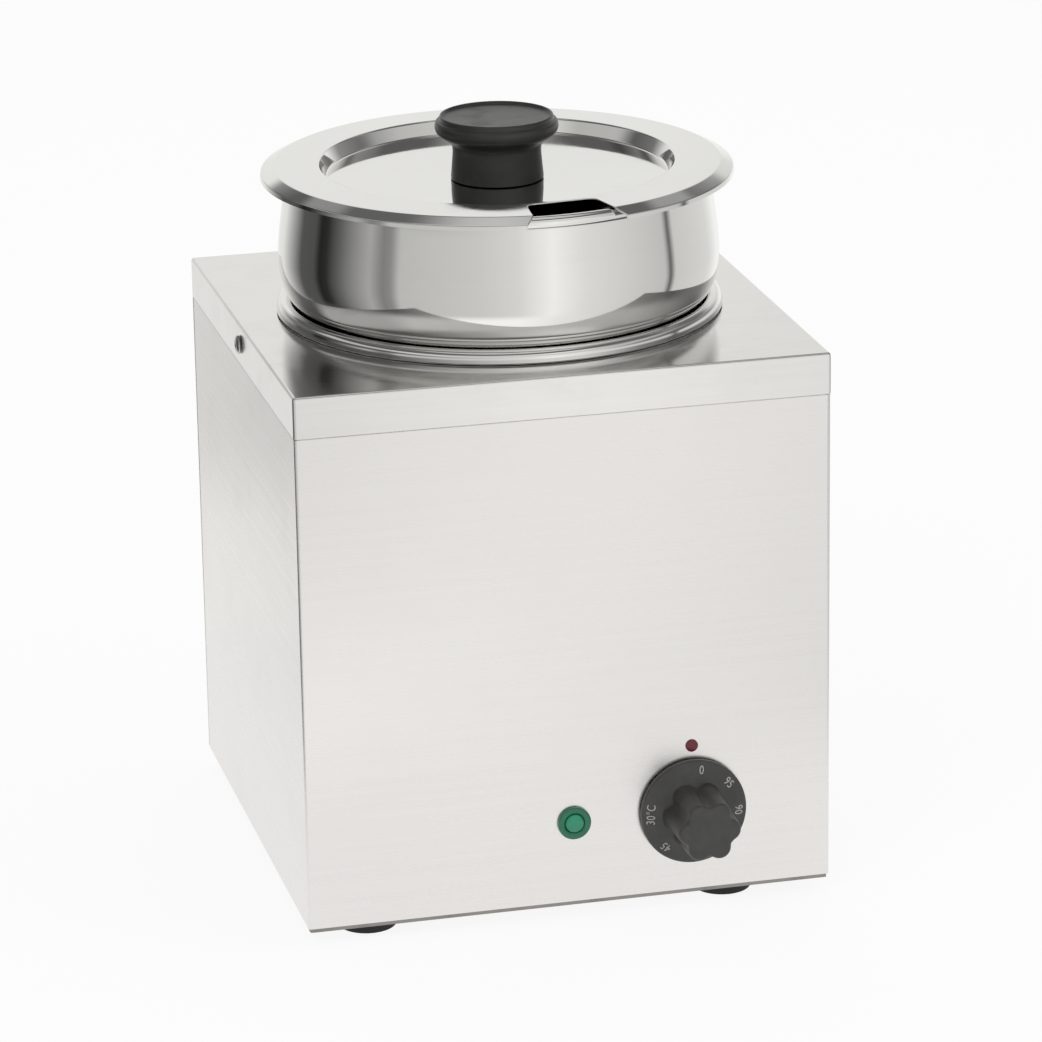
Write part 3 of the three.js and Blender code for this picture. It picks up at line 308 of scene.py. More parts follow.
def soften(made: bpy.types.Object, sharp: float = CRISP) -> None:
    """Shades an object smoothly, with crisp edges above an angle and flat faces kept flat.

    Args:
        made: The object.
        sharp: The angle above which an edge stays crisp, in degrees.
    """
    made.data.shade_smooth()
    made.data.set_sharp_from_angle(angle=math.radians(sharp))
    if "Flat faces" not in made.modifiers:
        weighted = made.modifiers.new("Flat faces", "WEIGHTED_NORMAL")
        weighted.keep_sharp = True
        weighted.weight = FLAT_WEIGHT


def settle(made: bpy.types.Object) -> bpy.types.Object:
    """Applies an object's modifiers and gives it back."""
    graph = bpy.context.evaluated_depsgraph_get()
    mesh = bpy.data.meshes.new_from_object(made.evaluated_get(graph), depsgraph=graph)
    made.modifiers.clear()
    made.data = mesh
    return made


def mesh_of(curve: bpy.types.Curve) -> bpy.types.Mesh:
    """Turns a curve or a text into a mesh and removes it.

    Args:
        curve: The curve or text.

    Returns:
        The mesh.
    """
    carrier = linked(bpy.data.objects.new(curve.name, curve))
    graph = bpy.context.evaluated_depsgraph_get()
    mesh = bpy.data.meshes.new_from_object(carrier.evaluated_get(graph), depsgraph=graph)
    bpy.data.objects.remove(carrier)
    bpy.data.curves.remove(curve)
    return mesh


def lathe(
    name: str, outline: Outline, spot: Spot, sides: int = 192, sharp: float = CRISP
) -> bpy.types.Object:
    """Turns an outline round a spot's axis.

    Args:
        name: The object's name.
        outline: Points of (radius, height). An outline that stays off the axis is closed on itself.
        spot: Where the axis stands.
        sides: How many sides the turned form has.
        sharp: The angle above which an edge stays crisp, in degrees.

    Returns:
        The new object.
    """
    angles = np.linspace(0, 2 * math.pi, sides, endpoint=False)
    vertices, rows = [], []
    for radius, height in outline:
        if radius < TINY:
            rows.append([len(vertices)] * sides)
            vertices.append((0.0, 0.0, height))
            continue
        rows.append(list(range(len(vertices), len(vertices) + sides)))
        vertices.extend((radius * math.cos(a), radius * math.sin(a), height) for a in angles)
    closed = outline[0][0] > TINY or outline[-1][0] > TINY
    pairs = list(zip(rows, rows[1:], strict=False)) + ([(rows[-1], rows[0])] if closed else [])
    faces = []
    for lower, upper in pairs:
        for k in range(sides):
            n = (k + 1) % sides
            corners = [lower[k], lower[n], upper[n], upper[k]]
            corners = [c for i, c in enumerate(corners) if c != corners[i - 1]]
            if len(corners) > 2:
                faces.append(corners)
    return mesh_object(name, vertices, faces, spot, sharp)


def ring_of(radius: np.ndarray, angles: np.ndarray, height: float) -> np.ndarray:
    """Gives the points of a ring whose radius changes with the angle."""
    return np.column_stack([radius * np.cos(angles), radius * np.sin(angles), np.full(len(angles), height)])


def loft(name: str, rings: Sequence[np.ndarray], spot: Spot, sharp: float = CRISP) -> bpy.types.Object:
    """Skins closed rings that have the same number of points, and caps both ends.

    Args:
        name: The object's name.
        rings: Arrays of points, one for each ring.
        spot: Where it stands.
        sharp: The angle above which an edge stays crisp, in degrees.

    Returns:
        The new object.
    """
    count = len(rings[0])
    vertices = np.concatenate(rings)
    faces = [
        (r * count + k, r * count + (k + 1) % count, (r + 1) * count + (k + 1) % count, (r + 1) * count + k)
        for r in range(len(rings) - 1)
        for k in range(count)
    ]
    faces.append(tuple(range(count)))
    faces.append(tuple(range((len(rings) - 1) * count, len(rings) * count)))
    return mesh_object(name, vertices, faces, spot, sharp)


def plate(
    name: str,
    outline: Outline,
    holes: Sequence[Outline],
    span: tuple[float, float],
    spot: Spot,
    edge: float = 0.15,
) -> bpy.types.Object:
    """Makes a flat plate with holes and slightly broken edges.

    Args:
        name: The object's name.
        outline: The plate's outline in the spot's XY plane.
        holes: The outlines of its holes.
        span: The heights of its lower and upper faces.
        spot: Where it stands.
        edge: The width of the broken edges.

    Returns:
        The new object.
    """
    curve = bpy.data.curves.new(name, "CURVE")
    curve.dimensions = "2D"
    curve.fill_mode = "BOTH"
    curve.extrude = (span[1] - span[0]) / 2 - edge
    curve.bevel_depth = edge
    curve.bevel_resolution = 1
    curve.offset = -edge
    for line in (outline, *holes):
        spline = curve.splines.new("POLY")
        spline.points.add(len(line) - 1)
        for point, place in zip(spline.points, line, strict=True):
            point.co = (place[0], place[1], 0.0, 1.0)
        spline.use_cyclic_u = True
    mesh = mesh_of(curve)
    middle = (span[0] + span[1]) / 2
    vertices = [(v.co.x, v.co.y, v.co.z + middle) for v in mesh.vertices]
    faces = [list(p.vertices) for p in mesh.polygons]
    bpy.data.meshes.remove(mesh)
    return mesh_object(name, vertices, faces, spot)


def prism(
    name: str, outline: Outline, span: tuple[float, float], spot: Spot, sharp: float = CRISP
) -> bpy.types.Object:
    """Raises an outline from one height to another.

    Args:
        name: The object's name.
        outline: The outline in the spot's XY plane.
        span: The lower and upper heights.
        spot: Where it stands.
        sharp: The angle above which an edge stays crisp, in degrees.

    Returns:
        The new object.
    """
    rings = [np.array([(p[0], p[1], z) for p in outline]) for z in span]
    return loft(name, rings, spot, sharp)


def cut(made: bpy.types.Object, *tools: bpy.types.Object, join: bool = False) -> bpy.types.Object:
    """Cuts tools out of an object, or joins them to it, and removes the tools.

    Args:
        made: The object.
        tools: The objects to cut out of it.
        join: Whether they are joined to it instead.

    Returns:
        The object.
    """
    for tool in tools:
        change = made.modifiers.new("Cut", "BOOLEAN")
        change.operation = "UNION" if join else "DIFFERENCE"
        change.solver = "EXACT"
        change.object = tool
    settle(made)
    for tool in tools:
        bpy.data.meshes.remove(tool.data)
    soften(made)
    return made


def block(low: Sequence[float], high: Sequence[float], spot: Spot) -> bpy.types.Object:
    """Makes a plain box between two corners, for use as a cutting tool or a hidden flange."""
    return prism("tool", rectangle(low[0], low[1], high[0], high[1]), (low[2], high[2]), spot)


def cylinder(radius: float, span: tuple[float, float], spot: Spot, sides: int = 64) -> bpy.types.Object:
    """Makes a round tool along the spot's axis."""
    return prism("tool", circle(radius, sides), span, spot)


def turned_at(tool: bpy.types.Object, spot: Spot, angle: float) -> bpy.types.Object:
    """Moves a tool from the origin to a spot, turned about the spot's axis by an angle in degrees."""
    turn = Matrix.Rotation(math.radians(angle), 4, "Z")
    tool.data.transform(spot.matrix() @ turn @ ORIGIN.matrix().inverted())
    return tool


def swept_tube(name: str, path: np.ndarray, radius: float, spot: Spot, sides: int = 12) -> bpy.types.Object:
    """Runs a round section along an open path.

    Args:
        name: The object's name.
        path: The points of its centre line.
        radius: The radius of the section.
        spot: Where it stands.
        sides: How many sides the section has.

    Returns:
        The new object.
    """
    tangents = np.gradient(path, axis=0)
    rings = []
    side = np.cross(tangents[0], (0.0, 0.0, 1.0))
    side = side if np.linalg.norm(side) > TINY else np.array([1.0, 0.0, 0.0])
    for place, tangent in zip(path, tangents, strict=True):
        ahead = unit(tangent)
        side = unit(side - ahead * float(side @ ahead))
        other = np.cross(ahead, side)
        angles = np.linspace(0, 2 * math.pi, sides, endpoint=False)
        rings.append(np.array([place + radius * (math.cos(a) * side + math.sin(a) * other) for a in angles]))
    return loft(name, rings, spot, sharp=60.0)


# Shader nodes


class Graph:
    """A node tree while it is being put together."""

    def __init__(self, tree: bpy.types.NodeTree) -> None:
        """Keeps the tree to build in."""
        self.tree = tree

    def add(self, kind: str, **settings: object) -> bpy.types.Node:
        """Adds a node.

        Args:
            kind: The node's type, without the leading ShaderNode.
            settings: Properties of the node, by name.

        Returns:
            The node.
        """
        node = self.tree.nodes.new("ShaderNode" + kind)
        for name, value in settings.items():
            setattr(node, name, value)
        return node

    def first(self, kind: str) -> bpy.types.Node:
        """Gives the tree's first node of a type."""
        return next(node for node in self.tree.nodes if node.type == kind)

    def feed(self, socket: bpy.types.NodeSocket, source: object) -> None:
        """Links a socket to another, or sets its value."""
        if isinstance(source, bpy.types.NodeSocket):
            self.tree.links.new(source, socket)
        else:
            socket.default_value = source

    def math(self, operation: str, *values: object, clamp: bool = False) -> bpy.types.NodeSocket:
        """Adds a sum of one or two values.

        Args:
            operation: The Math node's operation.
            values: Numbers or sockets.
            clamp: Whether the result stays between 0 and 1.

        Returns:
            The socket that holds the result.
        """
        node = self.add("Math", operation=operation, use_clamp=clamp)
        for socket, value in zip(node.inputs, values, strict=False):
            self.feed(socket, value)
        return node.outputs[0]

    def mix(self, share: object, first: object, second: object) -> bpy.types.NodeSocket:
        """Mixes two colours and gives the socket that holds the result."""
        node = self.add("Mix", data_type="RGBA")
        self.feed(node.inputs["Factor"], share)
        for number, colour in zip(MIX_COLOURS, (first, second), strict=True):
            self.feed(node.inputs[number], colour)
        return node.outputs[MIX_COLOUR]

    def spread(self, value: object, low: float, high: float, from_low: float = 0.0, from_high: float = 1.0,
               smooth: bool = False) -> bpy.types.NodeSocket:
        """Maps a value from one range to another.

        Args:
            value: The value.
            low: What from_low becomes.
            high: What from_high becomes.
            from_low: The start of the first range.
            from_high: The end of the first range.
            smooth: Whether the change eases in and out.

        Returns:
            The socket that holds the result.
        """
        node = self.add("MapRange", interpolation_type="SMOOTHSTEP" if smooth else "LINEAR")
        for socket, given in zip(node.inputs, (value, from_low, from_high, low, high), strict=False):
            self.feed(socket, given)
        return node.outputs[0]

    def noise(
        self, place: object, scale: object, detail: float = 2.0, roughness: float = 0.5
    ) -> bpy.types.NodeSocket:
        """Adds a noise over a place.

        Args:
            place: The vector that it is read at.
            scale: How fine it is.
            detail: How many octaves it has.
            roughness: How strong the finer octaves are.

        Returns:
            The socket that holds its value.
        """
        node = self.add("TexNoise")
        self.feed(node.inputs["Vector"], place)
        self.feed(node.inputs["Scale"], scale)
        node.inputs["Detail"].default_value = detail
        node.inputs["Roughness"].default_value = roughness
        return node.outputs["Fac"]


@dataclass(frozen=True)
class GroupSocket:
    """One socket of a shader group."""

    name: str
    kind: str
    value: float | None = None
    out: bool = False


def new_group(name: str, sockets: Sequence[GroupSocket]) -> tuple[Graph, bpy.types.Node, bpy.types.Node]:
    """Starts a shader node group.

    Args:
        name: The group's name.
        sockets: Its inputs and outputs.

    Returns:
        The graph to build in, and its input and output nodes.
    """
    tree = bpy.data.node_groups.new(name, "ShaderNodeTree")
    for socket in sockets:
        way = "OUTPUT" if socket.out else "INPUT"
        made = tree.interface.new_socket(name=socket.name, in_out=way, socket_type="NodeSocket" + socket.kind)
        if socket.value is not None:
            made.default_value = socket.value
    graph = Graph(tree)
    return graph, tree.nodes.new("NodeGroupInput"), tree.nodes.new("NodeGroupOutput")


class Effects:
    """The effects that several finishes share, each as one shader node group."""

    level_from: float = 0.72  # how far up a face points before its lines run along X
    band_fineness: float = 0.09  # of the lines' own
    wipe_fineness: float = 7.0  # of the blotches' own
    tone_fineness: float = 0.05  # of the skin's own
    line_range: tuple[float, float] = (0.28, 0.72)  # what of a noise is spread over 0 to 1
    even_range: tuple[float, float] = (0.3, 0.7)
    patch_range: tuple[float, float] = (0.45, 0.7)
    wipe_range: tuple[float, float] = (0.35, 0.65)
    wipe_least: float = 0.35  # what is left of a blotch between its wipes

    def __init__(self) -> None:
        """Builds the groups once."""
        self.grain = self.brushed_grain()
        self.marks = self.handling_marks()
        self.mould = self.mould_grain()

    def brushed_grain(self) -> bpy.types.NodeTree:
        """Builds fine lines that run level along walls and along X on flat tops.

        Returns:
            The group: Place, Facing, Fineness and Stretch in; Line and Band out.
        """
        graph, into, out = new_group(
            "Brushed grain",
            [
                GroupSocket("Place", "Vector"),
                GroupSocket("Facing", "Vector"),
                GroupSocket("Fineness", "Float", 3000.0),
                GroupSocket("Stretch", "Float", 0.01),
                GroupSocket("Line", "Float", out=True),
                GroupSocket("Band", "Float", out=True),
            ],
        )
        place = graph.add("SeparateXYZ")
        graph.feed(place.inputs[0], into.outputs["Place"])
        facing = graph.add("SeparateXYZ")
        graph.feed(facing.inputs[0], into.outputs["Facing"])
        level = graph.math("GREATER_THAN", graph.math("ABSOLUTE", facing.outputs[2]), self.level_from)
        wall_along = graph.math("ADD", place.outputs[0], place.outputs[1])
        along = graph.add("Mix")
        across = graph.add("Mix")
        for node, *choices in (
            (along, wall_along, place.outputs[0]),
            (across, place.outputs[2], place.outputs[1]),
        ):
            graph.feed(node.inputs[0], level)
            for number, choice in zip(MIX_NUMBERS, choices, strict=True):
                graph.feed(node.inputs[number], choice)
        fineness, stretch = into.outputs["Fineness"], into.outputs["Stretch"]
        stretched = graph.math("MULTIPLY", along.outputs[0], stretch)
        vector = graph.add("CombineXYZ")
        graph.feed(vector.inputs[0], stretched)
        graph.feed(vector.inputs[1], across.outputs[0])
        graph.feed(vector.inputs[2], level)
        fine = graph.noise(vector.outputs[0], fineness, detail=3.0, roughness=0.65)
        coarse = graph.noise(vector.outputs[0], graph.math("MULTIPLY", fineness, self.band_fineness))
        graph.feed(out.inputs["Line"], graph.spread(fine, 0.0, 1.0, *self.line_range))
        graph.feed(out.inputs["Band"], graph.spread(coarse, 0.0, 1.0, *self.even_range))
        return graph.tree

    def handling_marks(self) -> bpy.types.NodeTree:
        """Builds soft blotches with finer wipes in them.

        Returns:
            The group: Place and Scale in; Mask out.
        """
        graph, into, out = new_group(
            "Handling marks",
            [
                GroupSocket("Place", "Vector"),
                GroupSocket("Scale", "Float", 30.0),
                GroupSocket("Mask", "Float", out=True),
            ],
        )
        place, scale = into.outputs["Place"], into.outputs["Scale"]
        broad = graph.noise(place, scale, detail=3.0, roughness=0.55)
        finer = graph.math("MULTIPLY", scale, self.wipe_fineness)
        fine = graph.noise(place, finer, detail=4.0, roughness=0.6)
        patches = graph.spread(broad, 0.0, 1.0, *self.patch_range, smooth=True)
        wipes = graph.spread(fine, self.wipe_least, 1.0, *self.wipe_range)
        graph.feed(out.inputs["Mask"], graph.math("MULTIPLY", patches, wipes, clamp=True))
        return graph.tree

    def mould_grain(self) -> bpy.types.NodeTree:
        """Builds the fine pebbled skin of moulded plastic and rubber.

        Returns:
            The group: Place and Fineness in; Skin and Tone out.
        """
        graph, into, out = new_group(
            "Mould grain",
            [
                GroupSocket("Place", "Vector"),
                GroupSocket("Fineness", "Float", 2500.0),
                GroupSocket("Skin", "Float", out=True),
                GroupSocket("Tone", "Float", out=True),
            ],
        )
        place, fineness = into.outputs["Place"], into.outputs["Fineness"]
        skin = graph.noise(place, fineness)
        tone = graph.noise(place, graph.math("MULTIPLY", fineness, self.tone_fineness), detail=3.0)
        graph.feed(out.inputs["Skin"], graph.spread(skin, 0.0, 1.0, *self.even_range))
        graph.feed(out.inputs["Tone"], graph.spread(tone, 0.0, 1.0, *self.even_range))
        return graph.tree


def new_material(name: str) -> tuple[bpy.types.Material, Graph]:
    """Makes a material and gives it with its graph."""
    material = bpy.data.materials.new(name)
    material.use_nodes = True
    return material, Graph(material.node_tree)


def rgba(colour: tuple[float, float, float], share: float = 1.0) -> tuple[float, float, float, float]:
    """Gives a colour with its alpha, made lighter or darker by a share."""
    return (colour[0] * share, colour[1] * share, colour[2] * share, 1.0)


class Finish:
    """What all finishes share: a named material with one shader, and places for its effects."""

    name: str

    def start(self) -> tuple[bpy.types.Material, Graph, bpy.types.Node, bpy.types.Node]:
        """Starts a material.

        Returns:
            The material, its graph, its shader and its coordinates.
        """
        material, graph = new_material(self.name)
        return material, graph, graph.first("BSDF_PRINCIPLED"), graph.add("TexCoord")

    def group(
        self, graph: Graph, tree: bpy.types.NodeTree, where: bpy.types.Node, **values: float
    ) -> bpy.types.Node:
        """Places a shared effect.

        Args:
            graph: The material's graph.
            tree: The effect's group.
            where: The material's coordinates.
            values: The effect's own values.

        Returns:
            The group node.
        """
        node = graph.add("Group")
        node.node_tree = tree
        graph.feed(node.inputs["Place"], where.outputs["Object"])
        if "Facing" in node.inputs:
            graph.feed(node.inputs["Facing"], where.outputs["Normal"])
        for name, value in values.items():
            graph.feed(node.inputs[name], value)
        return node

    def relief(
        self, graph: Graph, shader: bpy.types.Node, height: bpy.types.NodeSocket, depth: float
    ) -> None:
        """Raises the surface by a height.

        Args:
            graph: The material's graph.
            shader: Its shader.
            height: The height, from 0 to 1.
            depth: How deep the relief is, in millimetres.
        """
        bump = graph.add("Bump")
        bump.inputs["Strength"].default_value = 1.0
        bump.inputs["Distance"].default_value = depth * MM
        graph.feed(bump.inputs["Height"], height)
        graph.feed(shader.inputs["Normal"], bump.outputs[0])


@dataclass(frozen=True)
class MetalFinish(Finish):
    """A bare metal with drawn or brushed lines and marks from handling."""

    name: str
    colour: tuple[float, float, float]
    roughness: float
    line_tone: float = 0.04
    line_roughness: float = 0.06
    line_depth: float = 0.0006
    fineness: float = 3000.0
    stretch: float = 0.01
    line_share: float = 0.6
    mark_roughness: float = 0.05
    mark_tone: float = 0.03
    mark_shade: float = 0.35
    mark_scale: float = 25.0

    def material(self, effects: Effects) -> bpy.types.Material:
        """Builds the material.

        Args:
            effects: The shared effects.

        Returns:
            The material.
        """
        material, graph, shader, where = self.start()
        grain = self.group(graph, effects.grain, where, Fineness=self.fineness, Stretch=self.stretch)
        marks = self.group(graph, effects.marks, where, Scale=self.mark_scale)
        line, band = grain.outputs["Line"], grain.outputs["Band"]
        lines, bands = (graph.math("MULTIPLY", value, share)
                        for value, share in ((line, self.line_share), (band, 1 - self.line_share)))
        tone = graph.math("ADD", lines, bands)
        bare = graph.mix(tone, rgba(self.colour, 1 - self.line_tone), rgba(self.colour, 1 + self.line_tone))
        share = graph.math("MULTIPLY", marks.outputs["Mask"], self.mark_tone)
        graph.feed(shader.inputs["Base Color"], graph.mix(share, bare, rgba(self.colour, self.mark_shade)))
        half = self.line_roughness / 2
        rough = graph.spread(tone, self.roughness - half, self.roughness + half)
        wiped = graph.math("MULTIPLY", marks.outputs["Mask"], self.mark_roughness)
        graph.feed(shader.inputs["Roughness"], graph.math("ADD", rough, wiped, clamp=True))
        shader.inputs["Metallic"].default_value = 1.0
        self.relief(graph, shader, line, self.line_depth)
        return material


@dataclass(frozen=True)
class MouldedFinish(Finish):
    """A moulded plastic or rubber with a pebbled skin, a mottled tone and worn patches."""

    name: str
    colour: tuple[float, float, float]
    roughness: float
    worn: tuple[float, float, float]
    wear: float = 0.25
    skin_depth: float = 0.004
    fineness: float = 2500.0
    mottle: float = 0.12
    mark_roughness: float = 0.12
    mark_scale: float = 60.0
    coat: float = 0.0
    coat_roughness: float = 0.08

    def material(self, effects: Effects) -> bpy.types.Material:
        """Builds the material.

        Args:
            effects: The shared effects.

        Returns:
            The material.
        """
        material, graph, shader, where = self.start()
        mould = self.group(graph, effects.mould, where, Fineness=self.fineness)
        marks = self.group(graph, effects.marks, where, Scale=self.mark_scale)
        tone = mould.outputs["Tone"]
        plain = graph.mix(tone, rgba(self.colour, 1 - self.mottle), rgba(self.colour, 1 + self.mottle))
        share = graph.math("MULTIPLY", marks.outputs["Mask"], self.wear)
        graph.feed(shader.inputs["Base Color"], graph.mix(share, plain, rgba(self.worn)))
        wiped = graph.math("MULTIPLY", marks.outputs["Mask"], self.mark_roughness)
        graph.feed(shader.inputs["Roughness"], graph.math("ADD", self.roughness, wiped, clamp=True))
        shader.inputs["Coat Weight"].default_value = self.coat
        shader.inputs["Coat Roughness"].default_value = self.coat_roughness
        self.relief(graph, shader, mould.outputs["Skin"], self.skin_depth)
        return material


@dataclass(frozen=True)
class WoolFinish(Finish):
    """Needled glass wool: pale tangled fibres with darker tufts."""

    name: str
    colour: tuple[float, float, float]
    fibre: tuple[float, float, float]
    depth: float = 0.6
    fibre_scale: float = 420.0
    fibre_width: float = 0.25
    bend: float = 0.02
    bend_scale: float = 90.0
    tuft_scale: float = 70.0
    roughness: float = 0.95

    def material(self, effects: Effects) -> bpy.types.Material:
        """Builds the material.

        Args:
            effects: The shared effects.

        Returns:
            The material.
        """
        material, graph, shader, where = self.start()
        tangle = graph.add("TexVoronoi", feature="DISTANCE_TO_EDGE")
        bend = graph.noise(where.outputs["Object"], self.bend_scale, detail=3.0)
        warped = graph.add("VectorMath", operation="ADD")
        graph.feed(warped.inputs[0], where.outputs["Object"])
        graph.feed(warped.inputs[1], graph.math("MULTIPLY", bend, self.bend))
        graph.feed(tangle.inputs["Vector"], warped.outputs[0])
        tangle.inputs["Scale"].default_value = self.fibre_scale
        strand = graph.spread(tangle.outputs["Distance"], 1.0, 0.0, 0.0, self.fibre_width)
        tufts = self.group(graph, effects.marks, where, Scale=self.tuft_scale)
        halves = (graph.math("MULTIPLY", value, 0.5) for value in (strand, tufts.outputs["Mask"]))
        share = graph.math("ADD", *halves, clamp=True)
        graph.feed(shader.inputs["Base Color"], graph.mix(share, rgba(self.colour), rgba(self.fibre)))
        shader.inputs["Roughness"].default_value = self.roughness
        self.relief(graph, shader, strand, self.depth)
        return material


PLATED = MetalFinish("Plated steel", (0.57, 0.56, 0.55), 0.3, line_tone=0.08, line_roughness=0.12,
                     line_depth=0.002, fineness=900.0, stretch=0.6, mark_roughness=0.15, mark_tone=0.2,
                     mark_scale=80.0)


class Finishes:
    """Every finish on the machine, as materials by slot and by the place that needs its own."""

    metals = (
        MetalFinish("Polished steel", (0.80, 0.793, 0.778), 0.055, line_tone=0.012, line_roughness=0.03,
                    line_depth=0.00012, fineness=2400.0, stretch=0.02, mark_roughness=0.07, mark_scale=22.0),
        MetalFinish("Brushed steel", (0.81, 0.79, 0.772), 0.28, line_tone=0.025, line_roughness=0.06,
                    line_depth=0.0004, fineness=2600.0, stretch=0.006, mark_roughness=0.02, mark_tone=0.01),
        MetalFinish("Plate steel", (0.78, 0.768, 0.752), 0.12, line_tone=0.03, line_roughness=0.05,
                    line_depth=0.0003, fineness=2600.0, stretch=0.01, mark_roughness=0.08, mark_scale=30.0),
        PLATED,
        replace(PLATED, name="Dull steel", colour=(0.3, 0.285, 0.27), roughness=0.42),
        MetalFinish("Copper", (0.62, 0.30, 0.17), 0.28, line_tone=0.08, fineness=1500.0, stretch=0.4,
                    mark_tone=0.3, mark_scale=70.0),
        MetalFinish("Brass", (0.66, 0.47, 0.2), 0.26, line_tone=0.06, fineness=1500.0, stretch=0.4,
                    mark_tone=0.2, mark_scale=70.0),
    )
    moulded = (
        MouldedFinish("Black plastic", (0.024, 0.0235, 0.0225), 0.36, (0.06, 0.058, 0.055)),
        MouldedFinish("Dial plastic", (0.041, 0.04, 0.0385), 0.4, (0.09, 0.088, 0.084), mottle=0.16,
                      mark_scale=140.0),
        MouldedFinish("White plastic", (0.74, 0.7, 0.62), 0.45, (0.55, 0.5, 0.42)),
        MouldedFinish("Green plastic", (0.004, 0.14, 0.065), 0.26, (0.01, 0.18, 0.09), coat=0.3,
                      skin_depth=0.001),
        MouldedFinish("Green lens", (0.01, 0.26, 0.14), 0.2, (0.02, 0.33, 0.19), coat=0.3,
                      skin_depth=0.06, fineness=900.0),
        MouldedFinish("Red plastic", (0.12, 0.007, 0.016), 0.34, (0.17, 0.015, 0.028), coat=0.15,
                      skin_depth=0.001),
        MouldedFinish("Black rubber", (0.012, 0.012, 0.012), 0.7, (0.05, 0.048, 0.045), wear=0.4,
                      skin_depth=0.01, fineness=1400.0),
        MouldedFinish("Grey silicone", (0.36, 0.35, 0.34), 0.5, (0.45, 0.44, 0.42), skin_depth=0.003),
        MouldedFinish("Red wire", (0.4, 0.03, 0.02), 0.5, (0.45, 0.08, 0.06)),
        MouldedFinish("Blue wire", (0.03, 0.09, 0.3), 0.5, (0.07, 0.13, 0.34)),
        MouldedFinish("Dial print", (0.46, 0.45, 0.43), 0.5, (0.4, 0.39, 0.37), wear=0.5, skin_depth=0.002,
                      mark_scale=300.0),
    )
    wool = WoolFinish("Glass wool", (0.72, 0.62, 0.36), (0.86, 0.8, 0.6))

    def __init__(self) -> None:
        """Builds every material."""
        effects = Effects()
        self.made = {f.name: f.material(effects) for f in (*self.metals, *self.moulded, self.wool)}

    def named(self, name: str) -> bpy.types.Material:
        """Gives a material by its name."""
        return self.made[name]

    def of(self, slot: Slot) -> bpy.types.Material:
        """Gives the material that stands for one of the record's slots."""
        return self.made[slot.value.replace("_", " ").capitalize()]


# The machine's sub-assemblies


def box_of(node: str) -> tuple[Vector, Vector]:
    """Gives the lowest and highest corners of a CAD node's box, in millimetres."""
    low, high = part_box(node)
    return low / MM, high / MM


def spot_of(node: str, turn: Turn = Turn.UP) -> Spot:
    """Gives the spot at the middle of a CAD node's box, at the end that a piece is built from.

    Args:
        node: The node's name.
        turn: The way that the piece points.

    Returns:
        The spot, at the middle of the node's near end.
    """
    low, high = box_of(node)
    middle = (low + high) / 2
    ends = {
        Turn.UP: (middle.x, middle.y, low.z),
        Turn.DOWN: (middle.x, middle.y, high.z),
        Turn.FRONT: (middle.x, high.y, middle.z),
        Turn.REAR: (middle.x, low.y, middle.z),
        Turn.LEFT: (high.x, middle.y, middle.z),
        Turn.RIGHT: (low.x, middle.y, middle.z),
    }
    return Spot(*ends[turn], turn)


@dataclass
class SubAssembly:
    """What every sub-assembly shares: its finishes, its CAD body and how a piece joins it."""

    finishes: Finishes
    body: str = "casing"

    def dress(self, made: bpy.types.Object, slot: Slot, finish: str | None) -> None:
        """Gives an object the material of its slot, or of a finish of its own."""
        made.data.materials.clear()
        made.data.materials.append(self.finishes.named(finish) if finish else self.finishes.of(slot))

    def fit(self, made: bpy.types.Object, slot: Slot, *nodes: str, finish: str | None = None) -> None:
        """Dresses a new piece, and lets it ride on its body and stand for its CAD nodes.

        Args:
            made: The piece.
            slot: The record's slot that it takes its finish from.
            nodes: The CAD nodes that it stands for.
            finish: A finish of its own, if the slot's isn't right.
        """
        self.dress(made, slot, finish)
        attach(made, self.body)
        if nodes:
            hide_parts(*nodes)
        count = len(made.data.polygons)
        LOG.info("%s: %s, %d faces, stands for %s", self.body, made.name, count, nodes or "itself")

    def carry(self, slot: Slot, *nodes: str, finish: str | None = None) -> None:
        """Gives CAD nodes that stay in view the material of their slot.

        Args:
            slot: The record's slot.
            nodes: The nodes' names.
            finish: A finish of its own, if the slot's isn't right.
        """
        for name in nodes:
            self.dress(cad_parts[name], slot, finish)
            LOG.info("%s: CAD node %s carried in %s", self.body, name, slot.value)


